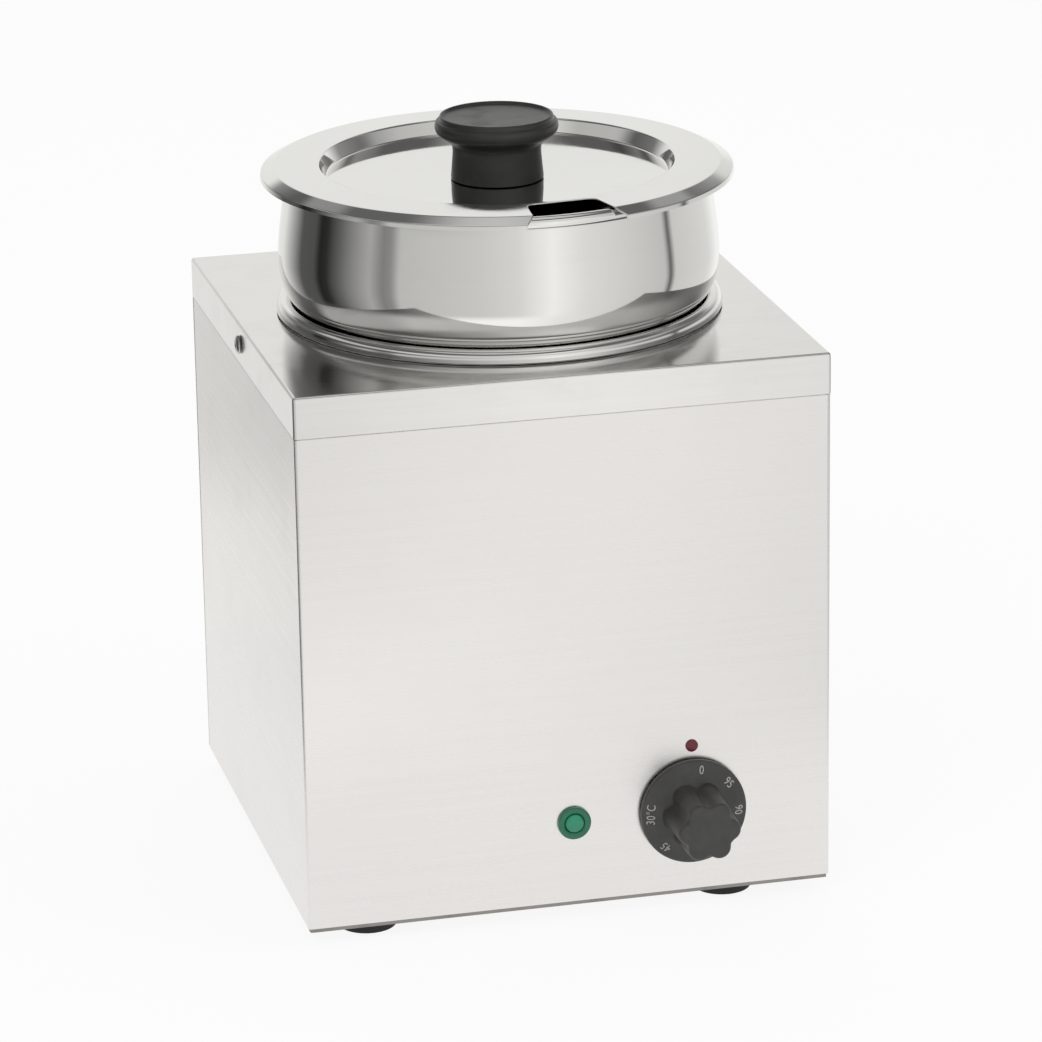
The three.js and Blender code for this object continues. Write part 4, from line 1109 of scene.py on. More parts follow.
@dataclass
class Screws(SubAssembly):
    """All the screws whose heads can be seen, each with a cross recess."""

    shank: float = 2.0
    side_head: float = 2.2
    round_head: float = 2.4
    head_wall: float = 0.25
    head_foot: float = 0.97
    recess_half: float = 0.55
    recess_reach: float = 2.3
    recess_depth: float = 1.3

    def head(self, name: str, node: str, turn: Turn, height: float) -> None:
        """Builds one screw from its CAD node's box.

        Args:
            name: The piece's name.
            node: The CAD node.
            turn: The way that the head points.
            height: The head's height.
        """
        low, high = box_of(node)
        size = high - low
        length = {Turn.DOWN: size.z, Turn.REAR: size.y}.get(turn, size.x)
        head_radius = min(sorted(size)[1:]) / 2
        spot = spot_of(node, turn)
        foot = length - height
        corners = ((0.0, 0.0), (self.shank, 0.0), (self.shank, foot), (head_radius * self.head_foot, foot))
        dome = dome_line(head_radius, foot, height, self.head_wall)
        made = lathe(name, [*(np.array(corner) for corner in corners), *dome], spot, sides=40)
        half, reach, top = self.recess_half, self.recess_reach, length + PAST
        floor = length - self.recess_depth
        tools = [
            block((-reach, -half, floor), (reach, half, top), spot),
            block((-half, -reach, floor), (half, reach, top), spot),
        ]
        self.fit(cut(made, *tools), Slot.PLATED_STEEL, node)

    def build(self) -> None:
        """Builds the cover's, the rear panel's and the feet's screws."""
        for side, turn in (("left", Turn.LEFT), ("right", Turn.RIGHT)):
            self.head(f"side_screw_{side}", f"cover_screw_{side}", turn, self.side_head)
        for corner in ("low_left", "low_right", "high_left", "high_right"):
            self.head(f"panel_screw_{corner}", f"rear_screw_{corner}", Turn.REAR, self.round_head)
        for corner in CORNERS:
            self.head(f"sole_screw_{corner}", f"foot_screw_{corner}", Turn.DOWN, self.round_head)


@dataclass
class Casing(SubAssembly):
    """The folded cover, the shell with the front and sides, the rear panel and the base."""

    sheet: float = 1.0
    lip: float = 20.8
    seam: float = 0.6
    step_in: float = 1.1
    fold: float = 1.6
    fold_steps: int = 8
    corner_least: float = 1e-4
    slit: float = 0.2
    slit_depth: float = 4.0
    slit_end: float = 0.4
    hole: float = 106.5
    hole_reach: float = 5.0
    lamp_hole: float = 6.7
    dial_hole: float = 5.6
    index_hole: float = 2.3
    gland_hole: float = 8.4
    drill_reach: float = 20.0
    rear_return: float = 14.0
    side_flange: float = 14.0
    front_flange: float = 36.1
    rear_gap: float = 38.0
    flange_in: float = 1.3
    tab_in: float = 0.6
    tab_gap: float = 0.2
    seat: float = 0.3
    panel_round: float = 0.6
    base_round: float = 1.0
    vent_length: float = 34.0
    vent_width: float = 3.6
    vent_pitch: float = 9.0
    vent_rows: int = 5
    vent_span: float = 96.0
    vent_drop: float = 56.0
    slot_length: float = 44.0
    slot_width: float = 5.0
    slot_pitch: float = 16.0
    slots: int = 5

    def build(self) -> None:
        """Builds the four sheet pieces."""
        self.cover()
        self.shell()
        self.rear()
        self.base()

    def cover(self) -> None:
        """Builds the folded cover with its rounded folds, its corner seams and the well's hole."""
        low, high = box_of("top_cover")
        spot = Spot((low.x + high.x) / 2, (low.y + high.y) / 2, low.z)
        half, height = (high.x - low.x) / 2, high.z - low.z
        quarter = np.array(rounded_line([(0, -half), (half, -half, self.fold), (half, 0)], step=11.0)[1:-1])
        turns = [np.array([[math.cos(a), -math.sin(a)], [math.sin(a), math.cos(a)]])
                 for a in np.radians((0, 90, 180, 270))]
        profile = [(0.0, 0.0), (0.0, height - self.fold)]
        profile += [(self.fold - self.fold * math.cos(a), height - self.fold + self.fold * math.sin(a))
                    for a in np.radians(np.linspace(90 / self.fold_steps, 90, self.fold_steps))]
        centre = np.array([half - self.fold, self.fold - half])
        rings = []
        for inward, z in profile:
            share = max((self.fold - inward) / self.fold, self.corner_least)
            corner = centre + (quarter - centre) * share
            rings.append(np.array([np.append(turn @ place, z) for turn in turns for place in corner]))
        made = loft("cover_sheet", rings, spot)
        inner = half - self.sheet
        tools = [
            block((-inner, -inner, -PAST), (inner, inner, height - self.sheet), spot),
            cylinder(self.hole, (height - self.hole_reach, height + self.hole_reach), spot, sides=256),
        ]
        corner = half * math.sqrt(2)
        for angle in (45, 135, 225, 315):
            slit = block((corner - self.slit_depth, -self.slit / 2, -PAST),
                         (corner + PAST, self.slit / 2, height - self.fold - self.slit_end), ORIGIN)
            tools.append(turned_at(slit, spot, angle))
        self.fit(cut(made, *tools), Slot.POLISHED_STEEL, "top_cover", finish="Plate steel")

    def step(self) -> float:
        """Gives the height at which the walls step in behind the cover's lip."""
        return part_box("top_cover")[0].z / MM - self.seam

    def shell_plan(self, half: float, depth: float, inset: float) -> Outline:
        """Gives the shell's outer face in plan.

        Args:
            half: Half the shell's width.
            depth: How far its rear face lies behind its front.
            inset: How far the line is set in from its full size.

        Returns:
            The line, from one rear return round to the other.
        """
        side, front, back = half - inset, inset, depth - inset
        return rounded_line(
            [
                (self.rear_return - side, back),
                (-side, back, self.fold),
                (-side, front, self.fold),
                (side, front, self.fold),
                (side, back, self.fold),
                (side - self.rear_return, back),
            ],
            step=11.25,
        )

    def shell(self) -> None:
        """Builds the sheet that is bent into the front and both sides, with its step and flanges."""
        low, high = box_of("housing_shell")
        half, depth = (high.x - low.x) / 2, high.y - low.y
        spot = Spot(0.0, low.y, low.z)
        height, step = high.z - low.z, self.step() - low.z
        wide, narrow = (self.shell_plan(half, depth, inset) for inset in (0.0, self.step_in))
        rings = []
        for plan, outer, inner in ((wide, 0.0, 0.0), (wide, step, step - self.sheet),
                                   (narrow, step, step - self.sheet), (narrow, height, height)):
            faces = ((plan, outer), (offset_line(plan, self.sheet)[::-1], inner))
            rings.append(np.array([(p[0], p[1], z) for line, z in faces for p in line]))
        made = loft("front_and_sides", rings, spot)
        inside, begins, ends = half - self.sheet / 2, self.front_flange - PAST, depth - self.rear_gap
        flanges = [
            block((-inside, self.sheet / 2, 0.0), (inside, self.front_flange, self.sheet), spot),
            block((-inside, begins, 0.0), (self.side_flange - half, ends, self.sheet), spot),
            block((half - self.side_flange, begins, 0.0), (inside, ends, self.sheet), spot),
        ]
        cut(made, *flanges, join=True)
        tools = [
            block((-half - PAST, high.y - self.step_in, self.step() - self.sheet - self.seat),
                  (half + PAST, high.y + PAST, high.z + PAST), ORIGIN)
        ]
        holes = {"lamp_bezel": self.lamp_hole, "dial_knob": self.dial_hole, "index_plug": self.index_hole}
        for node, radius in holes.items():
            near = spot_of(node, Turn.FRONT)
            place = Spot(near.x, low.y, near.z, Turn.FRONT)
            tools.append(cylinder(radius, (-self.drill_reach, self.drill_reach), place))
        self.fit(cut(made, *tools), Slot.BRUSHED_STEEL, "housing_shell")

    def rear(self) -> None:
        """Builds the rear panel with its vents, the gland's hole and the folded-in flange."""
        low, high = box_of("rear_panel")
        half = (high.x - low.x) / 2
        spot = Spot(0.0, high.y, 0.0, Turn.REAR)
        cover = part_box("top_cover")[1].z / MM
        gland = spot_of("cable_gland", Turn.REAR)
        holes = [circle(self.gland_hole, 48, gland.x, -gland.z)]
        for row in range(self.vent_rows):
            z = cover - self.lip - self.vent_drop - row * self.vent_pitch
            holes += [slot_outline(self.vent_length, self.vent_width, side * self.vent_span / 2, -z)
                      for side in (-1, 1)]
        step = self.step()
        outline = rectangle(-half, -step, half, -low.z, self.panel_round)
        made = plate("vented_panel", outline, holes, (-self.sheet, 0.0), spot)
        outer, foot = high.y - self.step_in, step - self.sheet
        inner, side = outer - self.sheet, half - self.step_in
        flanges = [
            block((-half + self.flange_in, low.y, low.z),
                  (half - self.flange_in, high.y - self.sheet / 2, low.z + self.sheet), ORIGIN),
            block((-half + self.tab_in, inner, foot),
                  (half - self.tab_in, high.y - self.tab_gap, step - self.tab_gap), ORIGIN),
            block((-side, inner, foot), (side, outer, high.z), ORIGIN),
        ]
        self.fit(cut(made, *flanges, join=True), Slot.BRUSHED_STEEL, "rear_panel")

    def base(self) -> None:
        """Builds the base plate with its cooling slots."""
        low, high = box_of("base_plate")
        half = (high.x - low.x) / 2
        spot = Spot(0.0, (low.y + high.y) / 2, low.z)
        rows = [(i - (self.slots - 1) / 2) * self.slot_pitch for i in range(self.slots)]
        holes = [slot_outline(self.slot_length, self.slot_width, 0.0, y) for y in rows]
        outline = rectangle(-half, -half, half, half, self.base_round)
        made = plate("slotted_base", outline, holes, (0.0, high.z - low.z), spot)
        self.fit(made, Slot.PLATED_STEEL, "base_plate", finish="Dull steel")


@dataclass
class Feet(SubAssembly):
    """The four rubber feet."""

    radius: float = 15.4
    sole: float = 14.8
    bore: float = 2.4
    recess: float = 4.2
    recess_height: float = 3.4
    recess_edge: float = 0.4
    edge: float = 0.9
    groove: float = 0.8
    groove_half: float = 0.4
    groove_share: float = 0.72
    shoulder: float = 0.1
    top_edge: float = 0.3
    top_land: float = 1.0

    def build(self) -> None:
        """Turns each foot, with a soft sole edge and one shallow groove."""
        for corner in CORNERS:
            node = f"foot_{corner}"
            low, high = box_of(node)
            height = high.z - low.z
            groove = height * self.groove_share
            below = groove - self.groove_half
            outline = rounded_line(
                [
                    (self.bore, height),
                    (self.bore, self.recess_height),
                    (self.recess, self.recess_height),
                    (self.recess, 0.0, self.recess_edge),
                    (self.sole, 0.0, self.edge),
                    (self.sole + (self.radius - self.sole) * below / height, below),
                    (self.radius - self.groove, groove),
                    (self.radius - self.shoulder, groove + self.groove_half),
                    (self.radius, height, self.top_edge),
                    (self.radius - self.top_land, height),
                ],
                step=12.0,
            )
            self.fit(lathe(f"rubber_{node}", outline, spot_of(node), sides=72), Slot.BLACK_RUBBER, node)


@dataclass
class Well(SubAssembly):
    """The well with its rolled rim, and what wraps it."""

    radius: float = 104.5
    sheet: float = 1.0
    corner: float = 14.0
    bead: float = 4.5
    tail: float = 1.5

    def build(self) -> None:
        """Turns the well and carries its seal, wool and strap."""
        low, high = box_of("well_tank")
        middle, level = self.radius + self.bead, high.z - low.z - self.bead
        corners = [(0.0, self.sheet), (self.radius, self.sheet, self.corner), (self.radius, level)]
        roll = arc((middle, level), self.bead, 180.0, 0.0, 32)
        edge = np.array([middle + self.bead, level - self.tail])
        line = [*rounded_line(corners, step=4.5)[:-1], *roll, edge]
        made = lathe("well_and_rim", sheet_section(line, -self.sheet), spot_of("well_tank"), sides=256)
        self.fit(made, Slot.POLISHED_STEEL, "well_tank")
        self.carry(Slot.BLACK_RUBBER, "well_seal", finish="Grey silicone")
        self.carry(Slot.GLASS_WOOL, "insulation_jacket")
        self.carry(Slot.PLATED_STEEL, "jacket_strap")


@dataclass
class Pot(SubAssembly):
    """The bulged pot that hangs in the well."""

    body: str = "pot"
    sheet: float = 0.8
    wall: float = 102.3
    corner: float = 11.0
    seat: float = 104.65
    rim: float = 3.4
    rim_end: float = -45.0
    shoulder: tuple[tuple[float, float], ...] = ((0.0, 0.0), (5.1, 9.4), (7.3, 25.9), (4.3, 52.9))
    hip_drop: float = 11.0
    throat: float = 2.3
    rim_rise: float = 69.2

    def build(self) -> None:
        """Turns the pot: its floor, its side with the shoulder and bulge, and its rolled rim."""
        low, high = box_of("pot")
        top = high.z - low.z
        seat = top - self.rim_rise
        roll = self.rim - self.sheet
        throat = self.seat + self.throat
        middle = throat + roll
        hip = seat - self.hip_drop
        bottom = rounded_line([(0.0, 0.0), (self.wall, 0.0, self.corner), (self.wall, hip)], step=5.0)[:-1]
        bulge = [(self.seat + out, seat + rise) for out, rise in self.shoulder]
        side = smooth_line([(self.wall, hip), *bulge, (throat, top - self.rim)], divisions=80)[:-1]
        rim = arc((middle, top - self.rim), roll, 180.0, self.rim_end, 28)
        section = sheet_section([*bottom, *side, *rim], self.sheet)
        self.fit(lathe("pot_body", section, spot_of("pot"), sides=256), Slot.POLISHED_STEEL, "pot")


@dataclass
class Lid(SubAssembly):
    """The lid with its ladle notch, its knob, and the screw and washer below."""

    body: str = "lid"
    sheet: float = 0.8
    bore: float = 2.9
    radius: float = 119.75
    crest: float = 90.05
    rim_middle: float = 109.55
    crown: float = 0.6
    recess: float = 7.5
    recess_slope: float = 3.4
    dish: float = 2.0
    dish_radius: float = 28.0
    dish_bend: float = 300.0
    fold: float = 1.5
    roll_start: float = 3.4
    roll_bend: float = 2.5
    knee_bend: float = 1.0
    roll_knee: tuple[float, float] = (0.3, 3.1)
    roll_drop: float = 5.4
    notch_inner: float = 18.0
    notch_outer: float = 21.5
    notch_flare: float = 8.0
    notch_room: float = 2.0
    notch_turn: float = 6.0
    notch_bends: tuple[float, float] = (8.0, 5.0)
    profile_share: float = 0.93
    edge_stand: float = 0.05
    edge_tuck: float = 0.1
    edge_drop: float = 0.2
    edge_points: int = 400
    edge_end_points: int = 6
    knob_shares: tuple[tuple[float, float], ...] = (
        (0.735, 0.0), (0.748, 0.008), (0.75, 0.03), (0.74, 0.12), (0.718, 0.36), (0.7145, 0.44),
        (0.722, 0.51), (0.745, 0.56), (0.79, 0.605), (0.85, 0.642), (0.91, 0.675), (0.958, 0.715),
        (0.985, 0.755), (1.0, 0.81), (0.998, 0.85), (0.988, 0.885), (0.972, 0.907), (0.955, 0.915),
        (0.938, 0.916), (0.926, 0.926), (0.921, 0.95), (0.918, 0.98), (0.91, 0.994), (0.897, 1.0),
        (0.882, 0.997), (0.87, 0.98), (0.858, 0.963), (0.842, 0.955), (0.5, 0.946), (0.0, 0.944),
    )
    knob_radius: float = 31.3
    knob_height: float = 32.5
    knob_pocket: tuple[float, float] = (4.3, 14.3)

    def profile(self) -> Outline:
        """Gives the line of the lid's upper face, from its bore to its edge, heights from its crest."""
        flange, middle = -self.crown, -self.recess - self.dish
        inward, fall = self.roll_knee
        return rounded_line(
            [
                (self.bore, middle),
                (self.dish_radius, middle, self.dish_bend),
                (self.crest - self.recess_slope, -self.recess, self.fold),
                (self.crest, 0.0, self.fold),
                (self.rim_middle + self.roll_start, flange, self.roll_bend),
                (self.radius - inward, flange - fall, self.knee_bend),
                (self.radius, flange - self.roll_drop),
            ],
            step=4.0,
        )

    def foot(self) -> float:
        """Gives the height of the lid's lowest edge from its crest."""
        return -self.crown - self.roll_drop

    def notch_line(self) -> Outline:
        """Gives the notch's outline in plan, before it is turned."""
        inner = self.crest + self.notch_room
        knee = self.radius - self.notch_flare
        outer = self.radius + self.notch_flare
        end = self.notch_outer + 2 * self.notch_flare
        wide, tight = self.notch_bends
        return rounded_line(
            [
                (-end, -outer),
                (-self.notch_outer, -knee, wide),
                (-self.notch_inner, -inner, tight),
                (self.notch_inner, -inner, tight),
                (self.notch_outer, -knee, wide),
                (end, -outer),
            ],
            step=6.0,
        )

    def build(self) -> None:
        """Builds the lid, its notch's edge and its knob, and carries the small parts below it."""
        centre = spot_of("lid")
        spot = Spot(centre.x, centre.y, box_of("lid")[1].z)
        profile = self.profile()
        made = lathe("lid_sheet", sheet_section(profile, -self.sheet), spot, sides=256)
        tool = prism("tool", self.notch_line(), (self.foot() - 3 * PAST, 3 * PAST), ORIGIN)
        cut(made, turned_at(tool, spot, self.notch_turn))
        self.true_normals(made, profile, spot)
        self.fit(made, Slot.POLISHED_STEEL, "lid")
        self.notch_edge(profile, spot)
        self.knob()
        self.carry(Slot.BRASS, "knob_insert")
        self.carry(Slot.PLATED_STEEL, "knob_screw", "knob_washer")

    def knob(self) -> None:
        """Turns the knob, with the pocket for its insert."""
        radius, height = self.knob_pocket
        outline = [np.array(p, float) for p in ((0.0, height), (radius, height), (radius, 0.0))]
        outline += [np.array([r * self.knob_radius, h * self.knob_height]) for r, h in self.knob_shares]
        made = lathe("knob_grip", outline, spot_of("lid_knob"), sides=160, sharp=40.0)
        self.fit(made, Slot.BLACK_PLASTIC, "lid_knob")

    def true_normals(self, made: bpy.types.Object, profile: Outline, spot: Spot) -> None:
        """Gives the lid the normals of its turned profile, so that the notch leaves no mark in its gloss.

        Args:
            made: The lid.
            profile: The line of its upper face.
            spot: Where its axis stands.
        """
        settle(made)
        line = np.array(profile)
        middle = np.array(offset_line(profile, -self.sheet / 2))
        steps = np.gradient(line, axis=0)
        across = np.stack([-steps[:, 1], steps[:, 0]], axis=1)
        across /= np.linalg.norm(across, axis=1)[:, None]
        mesh = made.data
        normals = [None] * len(mesh.loops)
        centre = np.array([spot.x, spot.y, spot.z])
        for face in mesh.polygons:
            flat = np.array(face.normal)
            for corner in face.loop_indices:
                place = np.array(mesh.vertices[mesh.loops[corner].vertex_index].co) / MM - centre
                radius = float(np.hypot(place[0], place[1]))
                k = int(np.argmin(np.linalg.norm(middle - (radius, place[2]), axis=1)))
                out = np.array([place[0], place[1], 0.0]) / max(radius, TINY)
                normal = out * across[k, 0] + np.array([0.0, 0.0, across[k, 1]])
                facing = float(flat @ normal)
                on_profile = abs(facing) > self.profile_share
                normals[corner] = tuple(math.copysign(1.0, facing) * normal) if on_profile else tuple(flat)
        mesh.normals_split_custom_set(normals)

    def notch_edge(self, profile: Outline, spot: Spot) -> None:
        """Runs the rounded edge of the sheet round the notch.

        Args:
            profile: The line of the lid's upper face.
            spot: Where the lid's axis stands.
        """
        middle = np.array(offset_line(profile, -self.sheet / 2))
        flange = middle[np.argmax(middle[:, 1]):]
        plan = np.array(self.notch_line())
        lengths = np.append(0.0, np.cumsum(np.linalg.norm(np.diff(plan, axis=0), axis=1)))
        dense = np.linspace(0.0, lengths[-1], self.edge_points)
        plan = np.stack([np.interp(dense, lengths, plan[:, i]) for i in (0, 1)], axis=1)
        radii = np.hypot(plan[:, 0], plan[:, 1])
        edge = self.radius - self.sheet / 2
        inside = plan[radii < edge]
        heights = np.interp(np.hypot(inside[:, 0], inside[:, 1]), flange[:, 0], flange[:, 1])
        run = np.column_stack([inside, heights])
        low = self.foot() + self.edge_tuck
        ends = [
            np.array([[x, y, z] for z in np.linspace(low, top - self.edge_drop, self.edge_end_points)])
            for x, y, top in (run[0], run[-1])
        ]
        path = np.concatenate([ends[0], run, ends[1][::-1]])
        turn = np.array(Matrix.Rotation(math.radians(self.notch_turn), 3, "Z"))
        made = swept_tube("lid_notch_edge", path @ turn.T, self.sheet / 2 + self.edge_stand, spot)
        self.fit(made, Slot.POLISHED_STEEL)


@dataclass
class Controls(SubAssembly):
    """The lamp, the red index and what carries them behind the panel."""

    bezel: float = 8.5
    bezel_height: float = 2.4
    bezel_bends: tuple[float, float] = (0.15, 1.1)
    mouth: float = 0.9
    mouth_chamfer: float = 0.7
    mouth_depth: float = 2.0
    mouth_bends: tuple[float, float] = (0.5, 0.2)
    barrel: float = 6.3
    barrel_length: float = 7.0
    seat: float = 0.3
    lens: float = 4.8
    lens_gap: float = 0.3
    lens_drop: float = 0.8
    lens_rise: float = 1.4
    index: float = 3.2
    index_rise: float = 0.9
    index_wall: float = 0.15
    stem: float = 1.9

    def build(self) -> None:
        """Builds the lamp's ring and lens and the index, and carries the rest."""
        spot = spot_of("lamp_bezel", Turn.FRONT)
        panel = self.barrel_length + self.seat
        face = self.barrel_length + self.bezel_height
        bore = self.lens + self.lens_gap
        foot_bend, face_bend = self.bezel_bends
        outer_bend, inner_bend = self.mouth_bends
        ring = rounded_line(
            [
                (bore, 0.0),
                (self.barrel, 0.0),
                (self.barrel, panel),
                (self.bezel, panel, foot_bend),
                (self.bezel, face, face_bend),
                (bore + self.mouth, face, outer_bend),
                (bore, face - self.mouth_chamfer, inner_bend),
                (bore, face - self.mouth_depth),
            ],
            step=10.0,
        )
        self.fit(lathe("lamp_ring", ring, spot, sides=96), Slot.GREEN_PLASTIC, "lamp_bezel")
        dome = dome_line(self.lens, face - self.lens_drop, self.lens_rise, steps=12)
        lens = [np.array((0.0, 0.0)), np.array((self.lens, 0.0)), *dome]
        made = lathe("lamp_window", lens, spot_of("lamp_lens", Turn.FRONT), sides=96)
        self.fit(made, Slot.GREEN_PLASTIC, "lamp_lens", finish="Green lens")
        low, high = box_of("index_plug")
        foot = high.y - low.y - self.index_rise
        cap = dome_line(self.index, foot, self.index_rise, self.index_wall)
        stem = [np.array(p, float) for p in ((0, 0), (self.stem, 0), (self.stem, foot), (self.index, foot))]
        made = lathe("index_dot", [*stem, *cap], spot_of("index_plug", Turn.FRONT), sides=64)
        self.fit(made, Slot.RED_PLASTIC, "index_plug")
        self.carry(Slot.WHITE_PLASTIC, "thermostat_body", "lamp_body")
        self.carry(Slot.PLATED_STEEL, "thermostat_screw_left", "thermostat_screw_right", "lamp_clip")


@dataclass(frozen=True)
class DialMark:
    """One printed mark on the dial: its words and how far it lies round from the dial's top."""

    name: str
    words: str
    angle: float


@dataclass
class Dial(SubAssembly):
    """The temperature dial: a printed skirt and a lobed grip on its spindle."""

    body: str = "dial"
    skirt: float = 27.3
    skirt_bends: tuple[float, float] = (0.3, 1.2)
    lift: float = 1.2
    edge: float = 3.0
    cone: float = 3.0
    wall: float = 2.0
    lip: float = 4.0
    boss: float = 6.0
    bore: float = 3.3
    bore_depth: float = 17.3
    grip: float = 16.2
    draft: float = 0.08
    lobes: int = 6
    lobe_out: float = 1.2
    lobe_in: float = 2.0
    lobe_bends: tuple[float, float] = (0.8, 1.25)
    grip_foot: tuple[tuple[float, float, float], ...] = (
        (-1.5, 0.5, 0.5), (0.0, 0.5, 0.5), (0.7, 0.2, 0.8), (1.6, 0.0, 0.95), (3.2, 0.0, 1.0),
    )
    grip_crown: tuple[tuple[float, float, float], ...] = (
        (0.05, -5.0, 0.8), (0.15, -8.0, 0.4), (0.2, -12.0, 0.0),
    )
    grip_wall: float = 7.0
    grip_edge: float = 1.8
    reach: float = 34.0
    letter: float = 6.2
    letter_width: float = 0.8
    letter_gap: float = 1.05
    letter_half: float = 0.06
    letter_thin: float = 0.02
    letter_rise: float = 0.04
    mark_radius: float = 22.6
    marks: tuple[DialMark, ...] = (
        DialMark("off", "0", -9.0),
        DialMark("30", "30°C", 87.0),
        DialMark("45", "45", 138.0),
        DialMark("60", "60", 181.0),
        DialMark("75", "75", 225.0),
        DialMark("90", "90", 268.0),
        DialMark("95", "95", 309.0),
    )

    def build(self) -> None:
        """Builds the dial and its print, and carries the spindle."""
        low, high = box_of("dial_knob")
        spot = Spot((low.x + high.x) / 2, low.y + self.reach, (low.z + high.z) / 2, Turn.FRONT)
        self.knob(spot)
        for mark in self.marks:
            self.printed(mark, spot)
        self.carry(Slot.BRASS, "dial_spindle")

    def knob(self, spot: Spot) -> None:
        """Builds the skirt and the grip and joins them.

        Args:
            spot: Where the dial's axis meets the panel.
        """
        top = self.lift + self.edge
        face = top + self.cone
        inner = self.skirt - self.wall
        foot_bend, edge_bend = self.skirt_bends
        outline = rounded_line(
            [
                (self.grip - self.lip, face - self.wall),
                (self.grip, face - self.wall),
                (inner, top - self.wall),
                (inner, self.lift),
                (self.skirt, self.lift, foot_bend),
                (self.skirt, top, edge_bend),
                (self.grip, face),
                (self.grip - self.lip, face),
            ],
            step=8.0,
        )
        skirt = lathe("temperature_dial", outline, spot)
        lobed = self.grip_solid(face, spot)
        boss = cylinder(self.boss, (self.lift, face + PAST), spot, sides=48)
        cut(skirt, lobed, boss, join=True)
        bore = cylinder(self.bore, (0.0, self.bore_depth), spot, sides=48)
        self.fit(cut(skirt, bore), Slot.BLACK_PLASTIC, "dial_knob", finish="Dial plastic")

    def grip_solid(self, face: float, spot: Spot) -> bpy.types.Object:
        """Builds the lobed grip with a flared foot and a soft top edge.

        Args:
            face: The height of the skirt's face.
            spot: Where the dial's axis meets the panel.

        Returns:
            The grip.
        """
        top, edge = self.reach, self.grip_edge
        stations = [(face + rise, out, share) for rise, out, share in self.grip_foot]
        stations += [(top - self.grip_wall, 0.0, 1.0), (top - edge, 0.0, 1.0)]
        stations += [(top - edge + edge * math.sin(a), -edge * (1 - math.cos(a)), 1.0)
                     for a in np.radians((15, 30, 45, 60, 75, 90))]
        stations += [(top - fall, out, share) for fall, out, share in self.grip_crown]
        angles = np.linspace(0, 2 * math.pi, 180, endpoint=False)
        wave = np.cos(self.lobes * angles)
        bend = np.where(wave > 0, *self.lobe_bends)
        shape = np.where(wave > 0, self.lobe_out, -self.lobe_in) * np.abs(wave) ** bend
        rings = []
        for z, out, share in stations:
            drawn = 1 - self.draft * (z - face) / (top - face)
            radius = (self.grip + out + shape * share) * drawn
            rings.append(ring_of(radius, angles, z))
        return loft("tool", rings, spot, sharp=50.0)

    def printed(self, mark: DialMark, spot: Spot) -> None:
        """Prints one mark on the skirt.

        Args:
            mark: The mark.
            spot: Where the dial's axis meets the panel.
        """
        text = bpy.data.curves.new(f"mark_{mark.name}", "FONT")
        text.body = mark.words
        text.size = self.letter
        text.align_x = "CENTER"
        text.align_y = "CENTER"
        text.extrude = self.letter_half
        text.offset = -self.letter_thin
        text.space_character = self.letter_gap
        mesh = mesh_of(text)
        span = self.skirt - self.grip
        rise = self.lift + self.edge + self.cone * (self.skirt - self.mark_radius) / span
        tilt = Matrix.Rotation(-math.atan2(self.cone, span), 4, "X")
        out = Matrix.Translation((0.0, self.mark_radius, rise + self.letter_rise))
        turn = Matrix.Rotation(math.radians(mark.angle), 4, "Z")
        narrow = Matrix.Diagonal((self.letter_width, 1.0, 1.0, 1.0))
        mesh.transform(spot.matrix() @ turn @ out @ tilt @ narrow)
        made = linked(bpy.data.objects.new(f"dial_mark_{mark.name}", mesh))
        self.fit(made, Slot.WHITE_PLASTIC, finish="Dial print")


